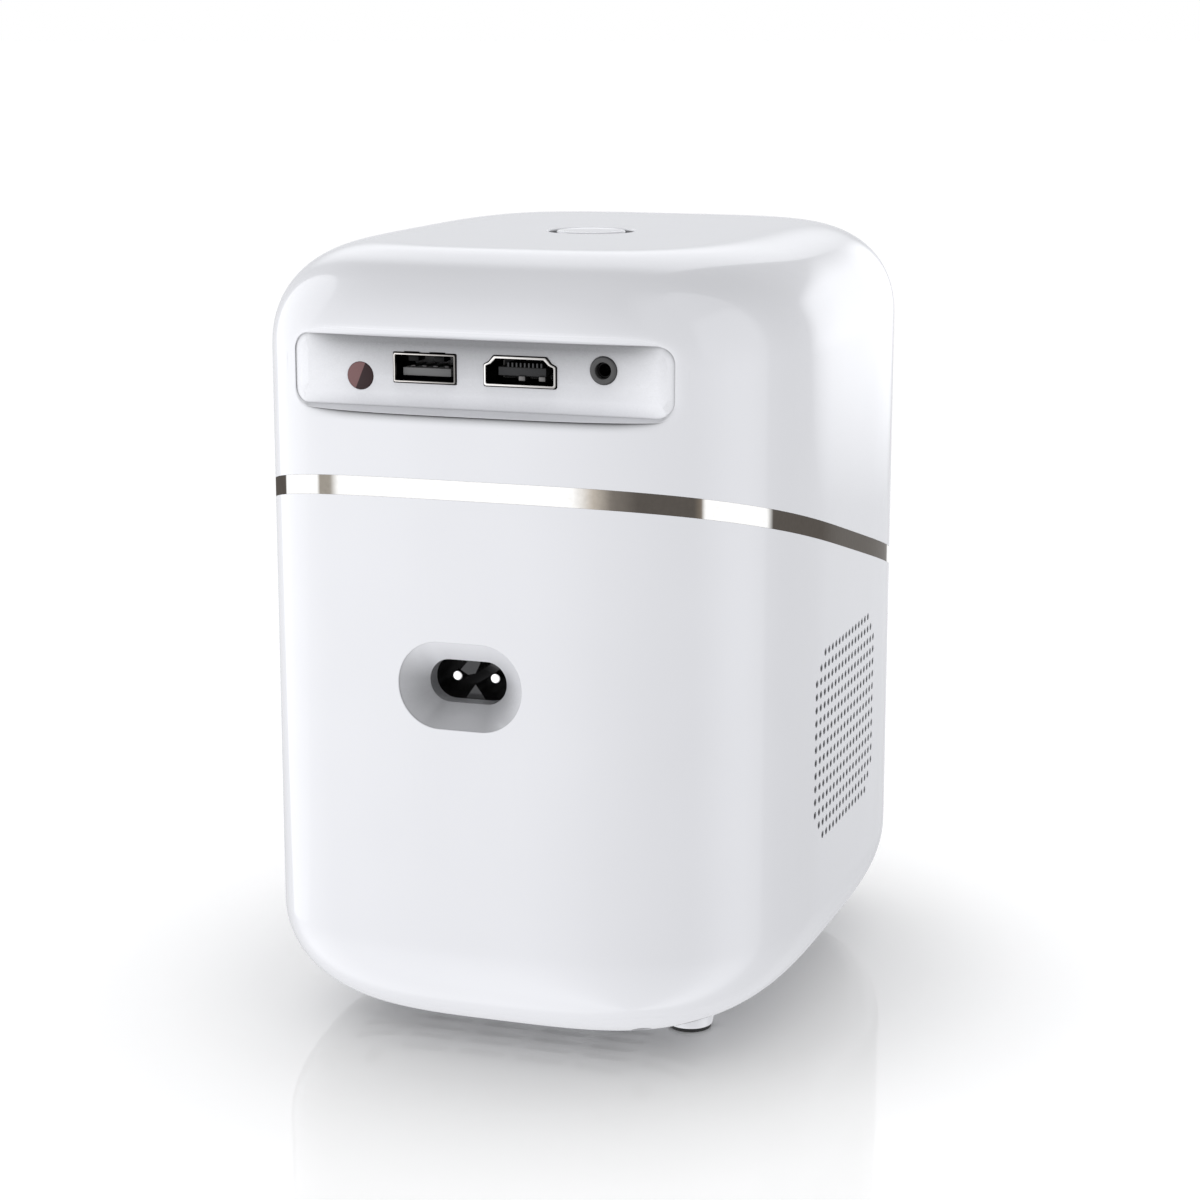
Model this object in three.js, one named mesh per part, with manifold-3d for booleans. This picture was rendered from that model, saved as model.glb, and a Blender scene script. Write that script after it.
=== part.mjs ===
// Portable table-top video projector with a rounded upright case.
// The case is an upper and a lower moulded housing with a slanting metal trim band between them.
// Units are millimetres. +Z is up, the lens looks along +Y, the sockets face -Y, and the origin
// lies on the table under the middle of the case.

import * as THREE from 'three';
import { mergeGeometries, mergeVertices } from 'three/addons/utils/BufferGeometryUtils.js';
import Module from 'manifold-3d';

const manifold = await Module();
manifold.setup();

// Case
const CASE_WIDTH = 122;
const CASE_DEPTH = 155;
const CASE_HEIGHT = 169;
const GROUND_GAP = 4;
const WALL = 2.4;
const FRONT_POWER = 4.0;
const BACK_POWER = 3.5;
const TOP_ROUND = { inset: 23.5, height: 22.5, power: 2.25, steps: 4 };
const FOOT_ROUND = { inset: 23.5, height: 22.5, power: 2.0, steps: 4 };
const QUARTER_STEPS = 7;
const QUARTER_FROM = THREE.MathUtils.degToRad(10.5);
const FIT = 0.3;

// Trim band: a ring in a rebate of the lower housing, on a plane that falls towards the front
const BAND_BACK_Z = 125.2;
const BAND_FALL = 0.26;
const BAND_HEIGHT = 4.1;
const BAND_THICKNESS = 1.2;

// Socket recess in the upper housing
const RECESS = { halfWidth: 41.8, bottom: 141.1, top: 156.4, corner: 4.2, floorY: -71.5, floor: 2.2 };
const RECESS_DRAFT = 0.55;
const IR = { x: -27.1, z: 147.3, radius: 2.9 };
const USB = { x: -12.6, z: 149.4, width: 13.4, height: 5.9, sheet: 0.4, depth: 13 };
const HDMI = { x: 8.4, z: 149.4, width: 15.4, height: 5.9, sheet: 0.5, depth: 11 };
const JACK = { x: 26.4, z: 150.5, radius: 2.85, bore: 1.75, depth: 12 };
const PORTS_FRONT_Y = -71.9;
const PORT_BOARD_TOP = 146.1;

// Mains inlet in the lower housing
const INLET = { x: -3.3, z: 83.7, mouthY: -72.3, seatY: -70.4 };
const FUNNEL_RIM = { width: 27.4, height: 18.5 };
const INLET_MOUTH = { width: 17.2, height: 9.2 };
const INLET_BODY = { width: 22, height: 14, backY: -52, floorY: -57 };
const PIN = { spacing: 8.6, radius: 1.05, tipY: -68, tailY: -49 };

// Perforated field in the right-hand side wall of the lower housing
const VENT = { y: -2, z: 63, pitch: 2.975, rows: 15, columns: 18, hole: 0.8 };
const HOLE_SIDES = 4;

// Base plate
const BASE = { halfWidth: 46, halfDepth: 70, corner: 20 };
const SLOT = { length: 11, width: 2.4, columnPitch: 13.7, columns: 6, rowPitch: 5.5, firstY: -58, rows: 7 };
const FOOT = { x: 35.3, y: 37.7, topRadius: 5.4, radius: 5.0, bottomZ: 1.0 };
const PAD = { radius: 4.7, thickness: 0.7 };

// Power button in the flat top
const BUTTON = { y: -3, radius: 7.8, holeRadius: 9.9, flange: 11.2, rise: 0.2, travel: 0.5 };

// Lens and focus ring on the front
const LENS_Z = 119;
const LENS_OPENING = 26;
const BEZEL = { bore: 24.4, sleeve: 25.7, rim: 28, back: 70, front: 78.9 };
const FOCUS_RING = { bore: 21, sleeve: 22.6, grip: 23.8, notch: 23.1, notches: 20, back: 56, front: 79.6 };
const BARREL = { radius: 20.6, bore: 18.9, flange: 25, front: 68 };
const CELL = { radius: 18.5, bore: 16.6, lip: 15.4, back: 44, front: 72 };

// Light engine behind the lens
const ENGINE = { half: 29, wall: 2, back: -36, front: 38 };
const HEAT_SINK = { halfWidth: 28, halfHeight: 24, base: 4, fins: 9, fin: 1.6, depth: 24 };

// Fan behind the perforated side
const FAN = { x: 48.5, y: -2, z: 63, size: 60, thickness: 14, bore: 28, hub: 10.5, blades: 7 };

// Carrier, boards and speaker inside the lower housing
const CARRIER = { halfWidth: 32, sheet: 2, back: -34, front: 36, shelfZ: 87.7, footZ: 6.7 };
const MAIN_BOARD_Z = 78;
const POWER_BOARD_Z = 12;
const BOARD = 1.6;
const SPEAKER = { y: -34, z: 6.7, radius: 19 };

const TOP_Z = GROUND_GAP + CASE_HEIGHT;

const finishes = {
  whiteGloss: { color: 0xeef0f2, roughness: 0.18, metalness: 0 },
  chrome: { color: 0xd8d6d2, roughness: 0.06, metalness: 1 },
  steel: { color: 0xb9b6ae, roughness: 0.25, metalness: 1 },
  nickel: { color: 0xe8e6e0, roughness: 0.2, metalness: 1 },
  aluminium: { color: 0xb8bcc0, roughness: 0.45, metalness: 1 },
  blackMatt: { color: 0x17181a, roughness: 0.6, metalness: 0 },
  blackGloss: { color: 0x0b0b0c, roughness: 0.2, metalness: 0 },
  darkGrey: { color: 0x3a3b3d, roughness: 0.5, metalness: 0 },
  contactGrey: { color: 0x6c6d6e, roughness: 0.45, metalness: 0 },
  smokedRed: { color: 0x4a2f30, roughness: 0.1, metalness: 0 },
  glass: { color: 0xcfe0e4, roughness: 0.03, metalness: 0 },
  board: { color: 0x1f5c3c, roughness: 0.55, metalness: 0 },
  rubber: { color: 0x101010, roughness: 0.85, metalness: 0 },
  paper: { color: 0x2a2a2c, roughness: 0.8, metalness: 0 },
};

// Geometry and solids

function closed(geometry) {
  const bare = geometry.clone();
  bare.deleteAttribute('normal');
  bare.deleteAttribute('uv');
  return mergeVertices(bare, 1e-4);
}

function solid(geometry) {
  const shape = closed(geometry);
  const mesh = new manifold.Mesh({
    numProp: 3,
    vertProperties: new Float32Array(shape.attributes.position.array),
    triVerts: new Uint32Array(shape.index.array),
  });
  return new manifold.Manifold(mesh);
}

function geometryOf(body) {
  const mesh = body.getMesh();
  const geometry = new THREE.BufferGeometry();
  geometry.setAttribute('position', new THREE.BufferAttribute(new Float32Array(mesh.vertProperties), 3));
  geometry.setIndex(new THREE.BufferAttribute(new Uint32Array(mesh.triVerts), 1));
  geometry.computeVertexNormals();
  return geometry;
}

// Every opening of one kind is cut in one go: the tools never touch each other
function patterned(geometries) {
  return solid(mergeGeometries(geometries.map(closed)));
}

// Lays a flat outline across an axis: (u, v) is (x, y) for z, (x, z) for y and (y, z) for x
const layOut = {
  x: new THREE.Matrix4().makeBasis(
    new THREE.Vector3(0, 1, 0), new THREE.Vector3(0, 0, 1), new THREE.Vector3(1, 0, 0)),
  y: new THREE.Matrix4().makeBasis(
    new THREE.Vector3(1, 0, 0), new THREE.Vector3(0, 0, 1), new THREE.Vector3(0, -1, 0)),
  z: new THREE.Matrix4(),
};

function extruded(shape, axis, from, to, curveSegments = 6) {
  const geometry = new THREE.ExtrudeGeometry(shape, {
    depth: to - from,
    bevelEnabled: false,
    curveSegments,
  });
  geometry.applyMatrix4(layOut[axis]);
  const start = axis === 'y' ? to : from;
  const shift = { x: [start, 0, 0], y: [0, start, 0], z: [0, 0, start] }[axis];
  return geometry.translate(...shift);
}

// Revolves a profile of [radius, distance along the axis] pairs
function revolved(profile, axis, segments = 20) {
  const points = profile.map(([radius, along]) => new THREE.Vector2(radius, along));
  const geometry = new THREE.LatheGeometry(points, segments);
  if (axis === 'x') geometry.rotateZ(-Math.PI / 2);
  if (axis === 'z') geometry.rotateX(Math.PI / 2);
  return geometry;
}

function rod(radius, from, to, axis, segments = 12) {
  return revolved([[0, from], [radius, from], [radius, to], [0, to]], axis, segments);
}

function box(x0, x1, y0, y1, z0, z1) {
  const geometry = new THREE.BoxGeometry(x1 - x0, y1 - y0, z1 - z0);
  return geometry.translate((x0 + x1) / 2, (y0 + y1) / 2, (z0 + z1) / 2);
}

function roundedRect(x0, x1, y0, y1, radius) {
  const shape = new THREE.Shape();
  shape.moveTo(x0 + radius, y0);
  shape.lineTo(x1 - radius, y0);
  shape.absarc(x1 - radius, y0 + radius, radius, -Math.PI / 2, 0, false);
  shape.lineTo(x1, y1 - radius);
  shape.absarc(x1 - radius, y1 - radius, radius, 0, Math.PI / 2, false);
  shape.lineTo(x0 + radius, y1);
  shape.absarc(x0 + radius, y1 - radius, radius, Math.PI / 2, Math.PI, false);
  shape.lineTo(x0, y0 + radius);
  shape.absarc(x0 + radius, y0 + radius, radius, Math.PI, 1.5 * Math.PI, false);
  return shape;
}

function stadium(width, height, x = 0, y = 0) {
  const radius = height / 2;
  const reach = width / 2 - radius;
  const shape = new THREE.Shape();
  shape.moveTo(x - reach, y - radius);
  shape.lineTo(x + reach, y - radius);
  shape.absarc(x + reach, y, radius, -Math.PI / 2, Math.PI / 2, false);
  shape.lineTo(x - reach, y + radius);
  shape.absarc(x - reach, y, radius, Math.PI / 2, 1.5 * Math.PI, false);
  return shape;
}

// The outline of a shape as one ring of points across the y axis, none of them double
function ringAcrossY(shape, y, divisions) {
  const points = shape.getPoints(divisions);
  const kept = points.filter((p, k) => p.distanceTo(points[(k + 1) % points.length]) > 1e-4);
  return kept.map((p) => new THREE.Vector3(p.x, y, p.y));
}

function polygon(points) {
  return new THREE.Shape(points.map(([x, y]) => new THREE.Vector2(x, y)));
}

// Skins a closed body over a stack of rings, each with the same number of points. The rings turn
// anticlockwise as seen from the last one.
function skinned(rings) {
  const count = rings[0].length;
  const centre = (ring) => ring.reduce((sum, p) => sum.add(p), new THREE.Vector3()).divideScalar(count);
  const points = [...rings.flat(), centre(rings[0]), centre(rings[rings.length - 1])];
  const first = points.length - 2;
  const last = points.length - 1;
  const faces = [];
  for (let k = 0; k < count; k += 1) {
    const next = (k + 1) % count;
    faces.push(first, next, k);
    const top = (rings.length - 1) * count;
    faces.push(last, top + k, top + next);
    for (let r = 0; r + 1 < rings.length; r += 1) {
      const a = r * count + k;
      const b = r * count + next;
      faces.push(a, b, b + count, a, b + count, a + count);
    }
  }
  const geometry = new THREE.BufferGeometry().setFromPoints(points);
  geometry.setIndex(faces);
  return geometry;
}

// Form of the case

// Plan outline: a superellipse, flat across the middle of each side
function planRing(halfWidth, halfDepth, z) {
  const ring = [];
  const sweep = Math.PI / 2 - 2 * QUARTER_FROM;
  for (let quarter = 0; quarter < 4; quarter += 1) {
    const power = quarter < 2 ? FRONT_POWER : BACK_POWER;
    for (let k = 0; k <= QUARTER_STEPS; k += 1) {
      const angle = (quarter * Math.PI) / 2 + QUARTER_FROM + (sweep * k) / QUARTER_STEPS;
      const c = Math.cos(angle);
      const s = Math.sin(angle);
      const onEnd = k === 0 || k === QUARTER_STEPS;
      const onSide = onEnd && Math.abs(c) > Math.abs(s);
      const x = onSide ? 1 : Math.abs(c) ** (2 / power);
      const y = onEnd && !onSide ? 1 : Math.abs(s) ** (2 / power);
      ring.push(new THREE.Vector3(Math.sign(c) * x * halfWidth, Math.sign(s) * y * halfDepth, z));
    }
  }
  return ring;
}

// The whole case as one solid, drawn in from the outside by an even distance
function caseBody(inward) {
  const halfWidth = CASE_WIDTH / 2 - inward;
  const halfDepth = CASE_DEPTH / 2 - inward;
  const rings = [];
  const addRing = (round, angle, up) => {
    const reach = round.inset - inward;
    const drop = round.height - inward;
    const inset = reach * (1 - Math.cos(angle) ** (2 / round.power));
    const rise = drop * Math.sin(angle) ** (2 / round.power);
    const start = up > 0 ? TOP_Z - round.height : GROUND_GAP + round.height;
    rings.push(planRing(halfWidth - inset, halfDepth - inset, start + up * rise));
  };
  for (let k = FOOT_ROUND.steps; k >= 0; k -= 1) {
    addRing(FOOT_ROUND, (k / FOOT_ROUND.steps) * Math.PI / 2, -1);
  }
  for (let k = 0; k <= TOP_ROUND.steps; k += 1) {
    addRing(TOP_ROUND, (k / TOP_ROUND.steps) * Math.PI / 2, 1);
  }
  return solid(skinned(rings));
}

function bandZ(y) {
  return BAND_BACK_Z - BAND_FALL * (y + CASE_DEPTH / 2);
}

// Everything between the slanting plane of the band, moved up by an offset, and a level far from it
const ABOVE = 300;
const BELOW = -50;

function sideOfBand(offset, farLevel) {
  const reach = CASE_DEPTH;
  const edge = [-reach, reach].map((y) => [y, bandZ(y) + offset]);
  const outline = polygon([...edge, [reach, farLevel], [-reach, farLevel]]);
  return solid(extruded(outline, 'x', -CASE_WIDTH, CASE_WIDTH));
}

const outside = caseBody(0);
const shell = outside.subtract(caseBody(WALL));
const midWall = caseBody(WALL / 2);

// Screw posts stand in the four corners, split by the band's plane with the housings
const POST = { x: 48.3, y: 60.3, radius: 4, foot: 6, head: 172 };

function corners(x, y, make) {
  return [[x, y], [-x, y], [-x, -y], [x, -y]].map(([px, py]) => make(px, py));
}

const posts = patterned(corners(POST.x, POST.y, (x, y) =>
  rod(POST.radius, POST.foot, POST.head, 'z', 8).translate(x, y, 0))).intersect(midWall);

// Upper housing

function recessRing(y, spread) {
  return ringAcrossY(roundedRect(
    -RECESS.halfWidth - spread, RECESS.halfWidth + spread,
    RECESS.bottom - spread, RECESS.top, RECESS.corner), y, 3);
}

const recessOuter = solid(extruded(roundedRect(
  -RECESS.halfWidth - WALL, RECESS.halfWidth + WALL,
  RECESS.bottom - WALL, RECESS.top + WALL, RECESS.corner + WALL), 'y',
-CASE_DEPTH / 2, RECESS.floorY + RECESS.floor, 4)).intersect(midWall);
const recessPocket = solid(skinned([
  recessRing(RECESS.floorY, 0),
  recessRing(-CASE_DEPTH / 2 - 3, RECESS_DRAFT * 1.5),
]));

function hdmiOutline(width, height, x, z) {
  const w = width / 2;
  const h = height / 2;
  return polygon([
    [-w, -h], [w, -h], [w, h * 0.34], [w - 1, h * 0.5], [w - 2.1, h], [-w + 2.1, h],
    [-w + 1, h * 0.5], [-w, h * 0.34],
  ].map(([px, pz]) => [x + px, z + pz]));
}

const portCuts = patterned([
  extruded(roundedRect(
    USB.x - USB.width / 2 - FIT, USB.x + USB.width / 2 + FIT,
    USB.z - USB.height / 2 - FIT, USB.z + USB.height / 2 + FIT, 0.3), 'y', -75, -66, 1),
  extruded(hdmiOutline(HDMI.width + 2 * FIT, HDMI.height + 2 * FIT, HDMI.x, HDMI.z), 'y', -75, -66),
  rod(JACK.radius + FIT, -75, -66, 'y', 12).translate(JACK.x, 0, JACK.z),
  rod(IR.radius + FIT, -75, -66, 'y', 12).translate(IR.x, 0, IR.z),
]);

const boardPosts = patterned([-31, 33].map((x) =>
  rod(2, PORT_BOARD_TOP + FIT, 172, 'z', 8).translate(x, -52, 0))).intersect(midWall);
const buttonPosts = patterned([-11, 11].map((x) =>
  rod(2.2, 160.9, 171.5, 'z', 8).translate(x, BUTTON.y + 11, 0)));
const lensOpening = solid(rod(LENS_OPENING, 60, 90, 'y', 28).translate(0, 0, LENS_Z));
const buttonHole = solid(rod(BUTTON.holeRadius, 165, 180, 'z', 24).translate(0, BUTTON.y, 0));

const upperHousing = shell
  .add(posts)
  .add(boardPosts)
  .add(buttonPosts)
  .add(recessOuter)
  .intersect(sideOfBand(BAND_HEIGHT / 2 + FIT, ABOVE))
  .subtract(recessPocket)
  .subtract(portCuts)
  .subtract(lensOpening)
  .subtract(buttonHole);

// Lower housing

const funnelOuter = solid(extruded(
  stadium(FUNNEL_RIM.width + 3, FUNNEL_RIM.height + 3, INLET.x, INLET.z), 'y',
  -CASE_DEPTH / 2 + 1, INLET.seatY, 5));

function stadiumRing(size, y) {
  return ringAcrossY(stadium(size.width, size.height, INLET.x, INLET.z), y, 5);
}

const overshoot = 1.5;
const funnelSlope = 1 + overshoot / (CASE_DEPTH / 2 + INLET.mouthY);
const funnel = solid(skinned([
  stadiumRing(INLET_MOUTH, INLET.seatY + 1),
  stadiumRing(INLET_MOUTH, INLET.mouthY),
  stadiumRing({
    width: INLET_MOUTH.width + (FUNNEL_RIM.width - INLET_MOUTH.width) * funnelSlope,
    height: INLET_MOUTH.height + (FUNNEL_RIM.height - INLET_MOUTH.height) * funnelSlope,
  }, -CASE_DEPTH / 2 - overshoot),
]));

function holeAlongX(x0, x1, y, z, radius) {
  return rod(radius, x0, x1, 'x', HOLE_SIDES).translate(0, y, z);
}

function ventHoles() {
  const holes = [];
  for (let row = 0; row < VENT.rows; row += 1) {
    const fromEnd = Math.min(row, VENT.rows - 1 - row);
    const trimmed = Math.max(0, 2 - fromEnd);
    for (let column = trimmed; column < VENT.columns - trimmed; column += 1) {
      const y = VENT.y + (column - (VENT.columns - 1) / 2) * VENT.pitch;
      const z = VENT.z + ((VENT.rows - 1) / 2 - row) * VENT.pitch;
      holes.push(holeAlongX(55, 65, y, z, VENT.hole));
    }
  }
  return patterned(holes);
}

const bandRebate = caseBody(-3)
  .subtract(caseBody(BAND_THICKNESS + FIT))
  .intersect(sideOfBand(-BAND_HEIGHT / 2 - FIT, ABOVE));
const fanPegs = patterned(corners(FAN.size / 2 - 4, FAN.size / 2 - 4, (y, z) =>
  rod(2.5, FAN.x + FAN.thickness / 2 + FIT, CASE_WIDTH / 2 - 1, 'x', 8).translate(0, FAN.y + y, FAN.z + z)));

function basePrism(spread) {
  return solid(extruded(roundedRect(
    -BASE.halfWidth - spread, BASE.halfWidth + spread,
    -BASE.halfDepth - spread, BASE.halfDepth + spread, BASE.corner + spread), 'z', -5, 24, 3));
}

const lowerHousing = shell
  .add(posts)
  .add(funnelOuter)
  .add(fanPegs)
  .intersect(sideOfBand(BAND_HEIGHT / 2, BELOW))
  .subtract(bandRebate)
  .subtract(basePrism(FIT))
  .subtract(funnel)
  .subtract(ventHoles());

const trimBand = outside
  .subtract(caseBody(BAND_THICKNESS))
  .intersect(sideOfBand(BAND_HEIGHT / 2, BELOW))
  .intersect(sideOfBand(-BAND_HEIGHT / 2, ABOVE));

// Base plate with its air slots and moulded feet

function slotShape(x, y) {
  const l = SLOT.length / 2;
  const w = SLOT.width / 2;
  return polygon([
    [-l, -w], [l, -w], [l, w], [-l, w],
  ].map(([px, py]) => [x + px, y + py]));
}

// The row next to the edge is shorter by a slot at each end, and the feet keep their ground clear
function airSlots() {
  const slots = [];
  for (let row = 0; row < SLOT.rows; row += 1) {
    const y = SLOT.firstY + row * SLOT.rowPitch;
    for (let column = 0; column < SLOT.columns; column += 1) {
      const x = (column - (SLOT.columns - 1) / 2) * SLOT.columnPitch;
      const outer = Math.abs(x) > 30;
      const leftOut = outer && (row === 0 || Math.abs(y + FOOT.y) < 8);
      if (!leftOut) slots.push(extruded(slotShape(x, y), 'z', -1, 12));
    }
  }
  return patterned(slots);
}

const moulded = patterned(corners(FOOT.x, FOOT.y, (x, y) => revolved([
  [0, FOOT.bottomZ], [FOOT.radius, FOOT.bottomZ], [FOOT.topRadius, GROUND_GAP + 1], [0, GROUND_GAP + 1],
], 'z', 14).translate(x, y, 0)));
const boardPegs = patterned(corners(24, 12, (x, y) =>
  rod(2, GROUND_GAP + 1, POWER_BOARD_Z - FIT, 'z', 6).translate(x, y + 11, 0)));
const basePlate = shell.intersect(basePrism(0)).subtract(airSlots()).add(moulded).add(boardPegs);

function piece(name, shape, finish) {
  const geometry = shape.isBufferGeometry ? shape : geometryOf(shape);
  const material = new THREE.MeshStandardMaterial({ ...finishes[finish], flatShading: true });
  const mesh = new THREE.Mesh(geometry, material);
  mesh.name = name;
  return mesh;
}

function assembly(x, y, z, ...meshes) {
  const group = new THREE.Group();
  group.position.set(x, y, z);
  group.add(...meshes);
  return group;
}

const housings = assembly(0, 0, 0,
  piece('upper_housing', upperHousing, 'whiteGloss'),
  piece('lower_housing', lowerHousing, 'whiteGloss'),
  piece('trim_band', trimBand, 'chrome'),
  piece('base_plate', basePlate, 'whiteGloss'));

const padNames = ['front_right', 'front_left', 'back_left', 'back_right'];
const pads = corners(FOOT.x, FOOT.y, (x, y) => [x, y]).map(([x, y], k) => {
  const pad = piece(`foot_pad_${padNames[k]}`, rod(PAD.radius, 0, PAD.thickness, 'z', 14), 'rubber');
  pad.position.set(x, y, 0);
  return pad;
});

// Sockets on their board, each modelled about its own centre line

const usbBack = PORTS_FRONT_Y + USB.depth;
const usbShell = solid(box(
  -USB.width / 2, USB.width / 2, PORTS_FRONT_Y, usbBack, -USB.height / 2, USB.height / 2))
  .subtract(solid(box(
    -USB.width / 2 + USB.sheet, USB.width / 2 - USB.sheet, PORTS_FRONT_Y - 1, usbBack - USB.sheet,
    -USB.height / 2 + USB.sheet, USB.height / 2 - USB.sheet)));
const usbTongue = extruded(polygon([
  [PORTS_FRONT_Y + 2, -1.4], [usbBack - 3.4, -1.4], [usbBack - 3.4, -2.2], [usbBack - 0.7, -2.2],
  [usbBack - 0.7, 2.2], [usbBack - 3.4, 2.2], [usbBack - 3.4, 0.4], [PORTS_FRONT_Y + 2, 0.4],
]), 'x', -5.9, 5.9);

const hdmiBack = PORTS_FRONT_Y + HDMI.depth;
const hdmiShell = solid(extruded(
  hdmiOutline(HDMI.width, HDMI.height, 0, 0), 'y', PORTS_FRONT_Y, hdmiBack))
  .subtract(solid(extruded(
    hdmiOutline(HDMI.width - 2 * HDMI.sheet, HDMI.height - 2 * HDMI.sheet, 0, 0), 'y',
    PORTS_FRONT_Y - 1, hdmiBack - HDMI.sheet)));
const hdmiTongue = extruded(polygon([
  [PORTS_FRONT_Y + 1.4, -0.9], [hdmiBack - 3.2, -0.9], [hdmiBack - 3.2, -1.9], [hdmiBack - 0.8, -1.9],
  [hdmiBack - 0.8, 1.7], [hdmiBack - 3.2, 1.7], [hdmiBack - 3.2, 0.9], [PORTS_FRONT_Y + 1.4, 0.9],
]), 'x', -5.3, 5.3);

const jackBack = PORTS_FRONT_Y + JACK.depth + 2;
const jackFoot = PORT_BOARD_TOP + FIT - JACK.z;
const avJack = solid(rod(JACK.radius, PORTS_FRONT_Y, jackBack - 2, 'y', 14))
  .add(solid(box(-3.4, 3.4, RECESS.floorY + RECESS.floor + FIT, jackBack, jackFoot, 3.2)))
  .subtract(solid(rod(JACK.bore, PORTS_FRONT_Y - 1, jackBack - 3, 'y', 12)));

const recessBack = RECESS.floorY + RECESS.floor;
const irWindow = revolved([
  [0, PORTS_FRONT_Y + 0.2], [IR.radius, PORTS_FRONT_Y + 0.2], [IR.radius, recessBack + FIT],
  [IR.radius + 1, recessBack + FIT], [IR.radius + 1, recessBack + 1.1], [0, recessBack + 1.1],
], 'y', 14);
const irReceiver = solid(box(-3, 3, -66.4, -63.2, PORT_BOARD_TOP + FIT - IR.z, 3.2))
  .add(solid(rod(1.2, -67.6, -66, 'y', 10).translate(0, 0, 1)));

function placed(mesh, x, y, z) {
  mesh.position.set(x, y, z);
  return mesh;
}

const sockets = assembly(0, 0, 0,
  placed(piece('ir_window', irWindow, 'smokedRed'), IR.x, 0, IR.z),
  placed(piece('ir_receiver', irReceiver, 'blackMatt'), IR.x, 0, IR.z),
  placed(piece('usb_shell', usbShell, 'steel'), USB.x, 0, USB.z),
  placed(piece('usb_tongue', usbTongue, 'contactGrey'), USB.x, 0, USB.z),
  placed(piece('hdmi_shell', hdmiShell, 'steel'), HDMI.x, 0, HDMI.z),
  placed(piece('hdmi_tongue', hdmiTongue, 'blackMatt'), HDMI.x, 0, HDMI.z),
  placed(piece('av_jack', avJack, 'darkGrey'), JACK.x, 0, JACK.z),
  piece('port_board', box(-34, 36, -66.9, -47, PORT_BOARD_TOP - BOARD, PORT_BOARD_TOP), 'board'));

// Mains inlet: a black moulding with two round pins and a ridge between its two lobes

const socketHollow = solid(extruded(
  stadium(INLET_MOUTH.width - 0.4, INLET_MOUTH.height - 0.4), 'y', -80, INLET_BODY.floorY, 5));
const lobeRidge = solid(extruded(polygon([[-1.8, -6], [1.8, -6], [1.8, -4.3], [0, -1.5], [-1.8, -4.3]]), 'y',
  INLET.seatY - 1, INLET_BODY.floorY + 1));
const pinPlaces = [-PIN.spacing / 2, PIN.spacing / 2];
const pinHoles = patterned(pinPlaces.map((x) =>
  rod(PIN.radius + FIT, INLET_BODY.floorY - 1, INLET_BODY.backY + 1, 'y', 10).translate(x, 0, 0)));
const inletBlock = solid(extruded(roundedRect(
  -INLET_BODY.width / 2, INLET_BODY.width / 2, -INLET_BODY.height / 2, INLET_BODY.height / 2, 3), 'y',
INLET.seatY + FIT, INLET_BODY.backY, 2));
const inletSocket = inletBlock.subtract(socketHollow.subtract(lobeRidge)).subtract(pinHoles);
const inletPin = revolved([
  [0, PIN.tipY], [PIN.radius * 0.6, PIN.tipY], [PIN.radius, PIN.tipY + 0.7],
  [PIN.radius, PIN.tailY], [0, PIN.tailY],
], 'y', 10);

const inlet = assembly(INLET.x, 0, INLET.z,
  piece('inlet_socket', inletSocket, 'blackGloss'),
  placed(piece('inlet_pin_left', inletPin, 'nickel'), pinPlaces[0], 0, 0),
  placed(piece('inlet_pin_right', inletPin.clone(), 'nickel'), pinPlaces[1], 0, 0));

// Power button: a round cap held under the top by its flange, over a push switch

const capTop = TOP_Z + BUTTON.rise;
const flangeTop = TOP_Z - WALL - 0.4;
const powerButton = revolved([
  [0, 165], [2, 165], [2, flangeTop - 1.6], [BUTTON.flange, flangeTop - 1.6], [BUTTON.flange, flangeTop],
  [BUTTON.radius, flangeTop], [BUTTON.radius, capTop - 0.5], [BUTTON.radius - 0.5, capTop], [0, capTop],
], 'z', 18);
const switchBody = solid(box(-3, 3, -3, 3, 160.9, 163.9)).subtract(solid(rod(1.9, 161.5, 165, 'z', 10)));

const button = assembly(0, BUTTON.y, 0,
  piece('power_button', powerButton, 'whiteGloss'),
  piece('switch_plunger', rod(1.6, 161.5 + BUTTON.travel + 0.4, 165 - FIT, 'z', 10), 'darkGrey'),
  piece('button_switch', switchBody, 'blackMatt'),
  piece('button_board', box(-15, 15, -6, 14, 160.6 - BOARD, 160.6), 'board'));

// Lens, focus ring and light engine, about the optical axis

const lensBezel = revolved([
  [BEZEL.bore, BEZEL.back], [BEZEL.sleeve, BEZEL.back], [BEZEL.sleeve, CASE_DEPTH / 2 + FIT],
  [BEZEL.rim, CASE_DEPTH / 2 + FIT], [BEZEL.rim, BEZEL.front - 0.6], [BEZEL.rim - 0.6, BEZEL.front],
  [BEZEL.bore, BEZEL.front], [BEZEL.bore, BEZEL.back],
], 'y', 24);

function gripOutline() {
  const points = [];
  for (let k = 0; k < 2 * FOCUS_RING.notches; k += 1) {
    const angle = (k * Math.PI) / FOCUS_RING.notches;
    const radius = k % 2 ? FOCUS_RING.notch : FOCUS_RING.grip;
    points.push([radius * Math.cos(angle), radius * Math.sin(angle)]);
  }
  return polygon(points);
}

const focusRing = solid(extruded(gripOutline(), 'y', 70.6, FOCUS_RING.front))
  .add(solid(rod(FOCUS_RING.sleeve, FOCUS_RING.back, 72, 'y', 20)))
  .subtract(solid(revolved([
    [0, FOCUS_RING.back - 1], [FOCUS_RING.bore, FOCUS_RING.back - 1], [FOCUS_RING.bore, 70.4],
    [CELL.radius + 0.4, 70.4], [CELL.radius + 0.4, 74.5], [22.4, FOCUS_RING.front + 0.2],
    [22.4, FOCUS_RING.front + 1], [0, FOCUS_RING.front + 1],
  ], 'y', 20)));

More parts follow.
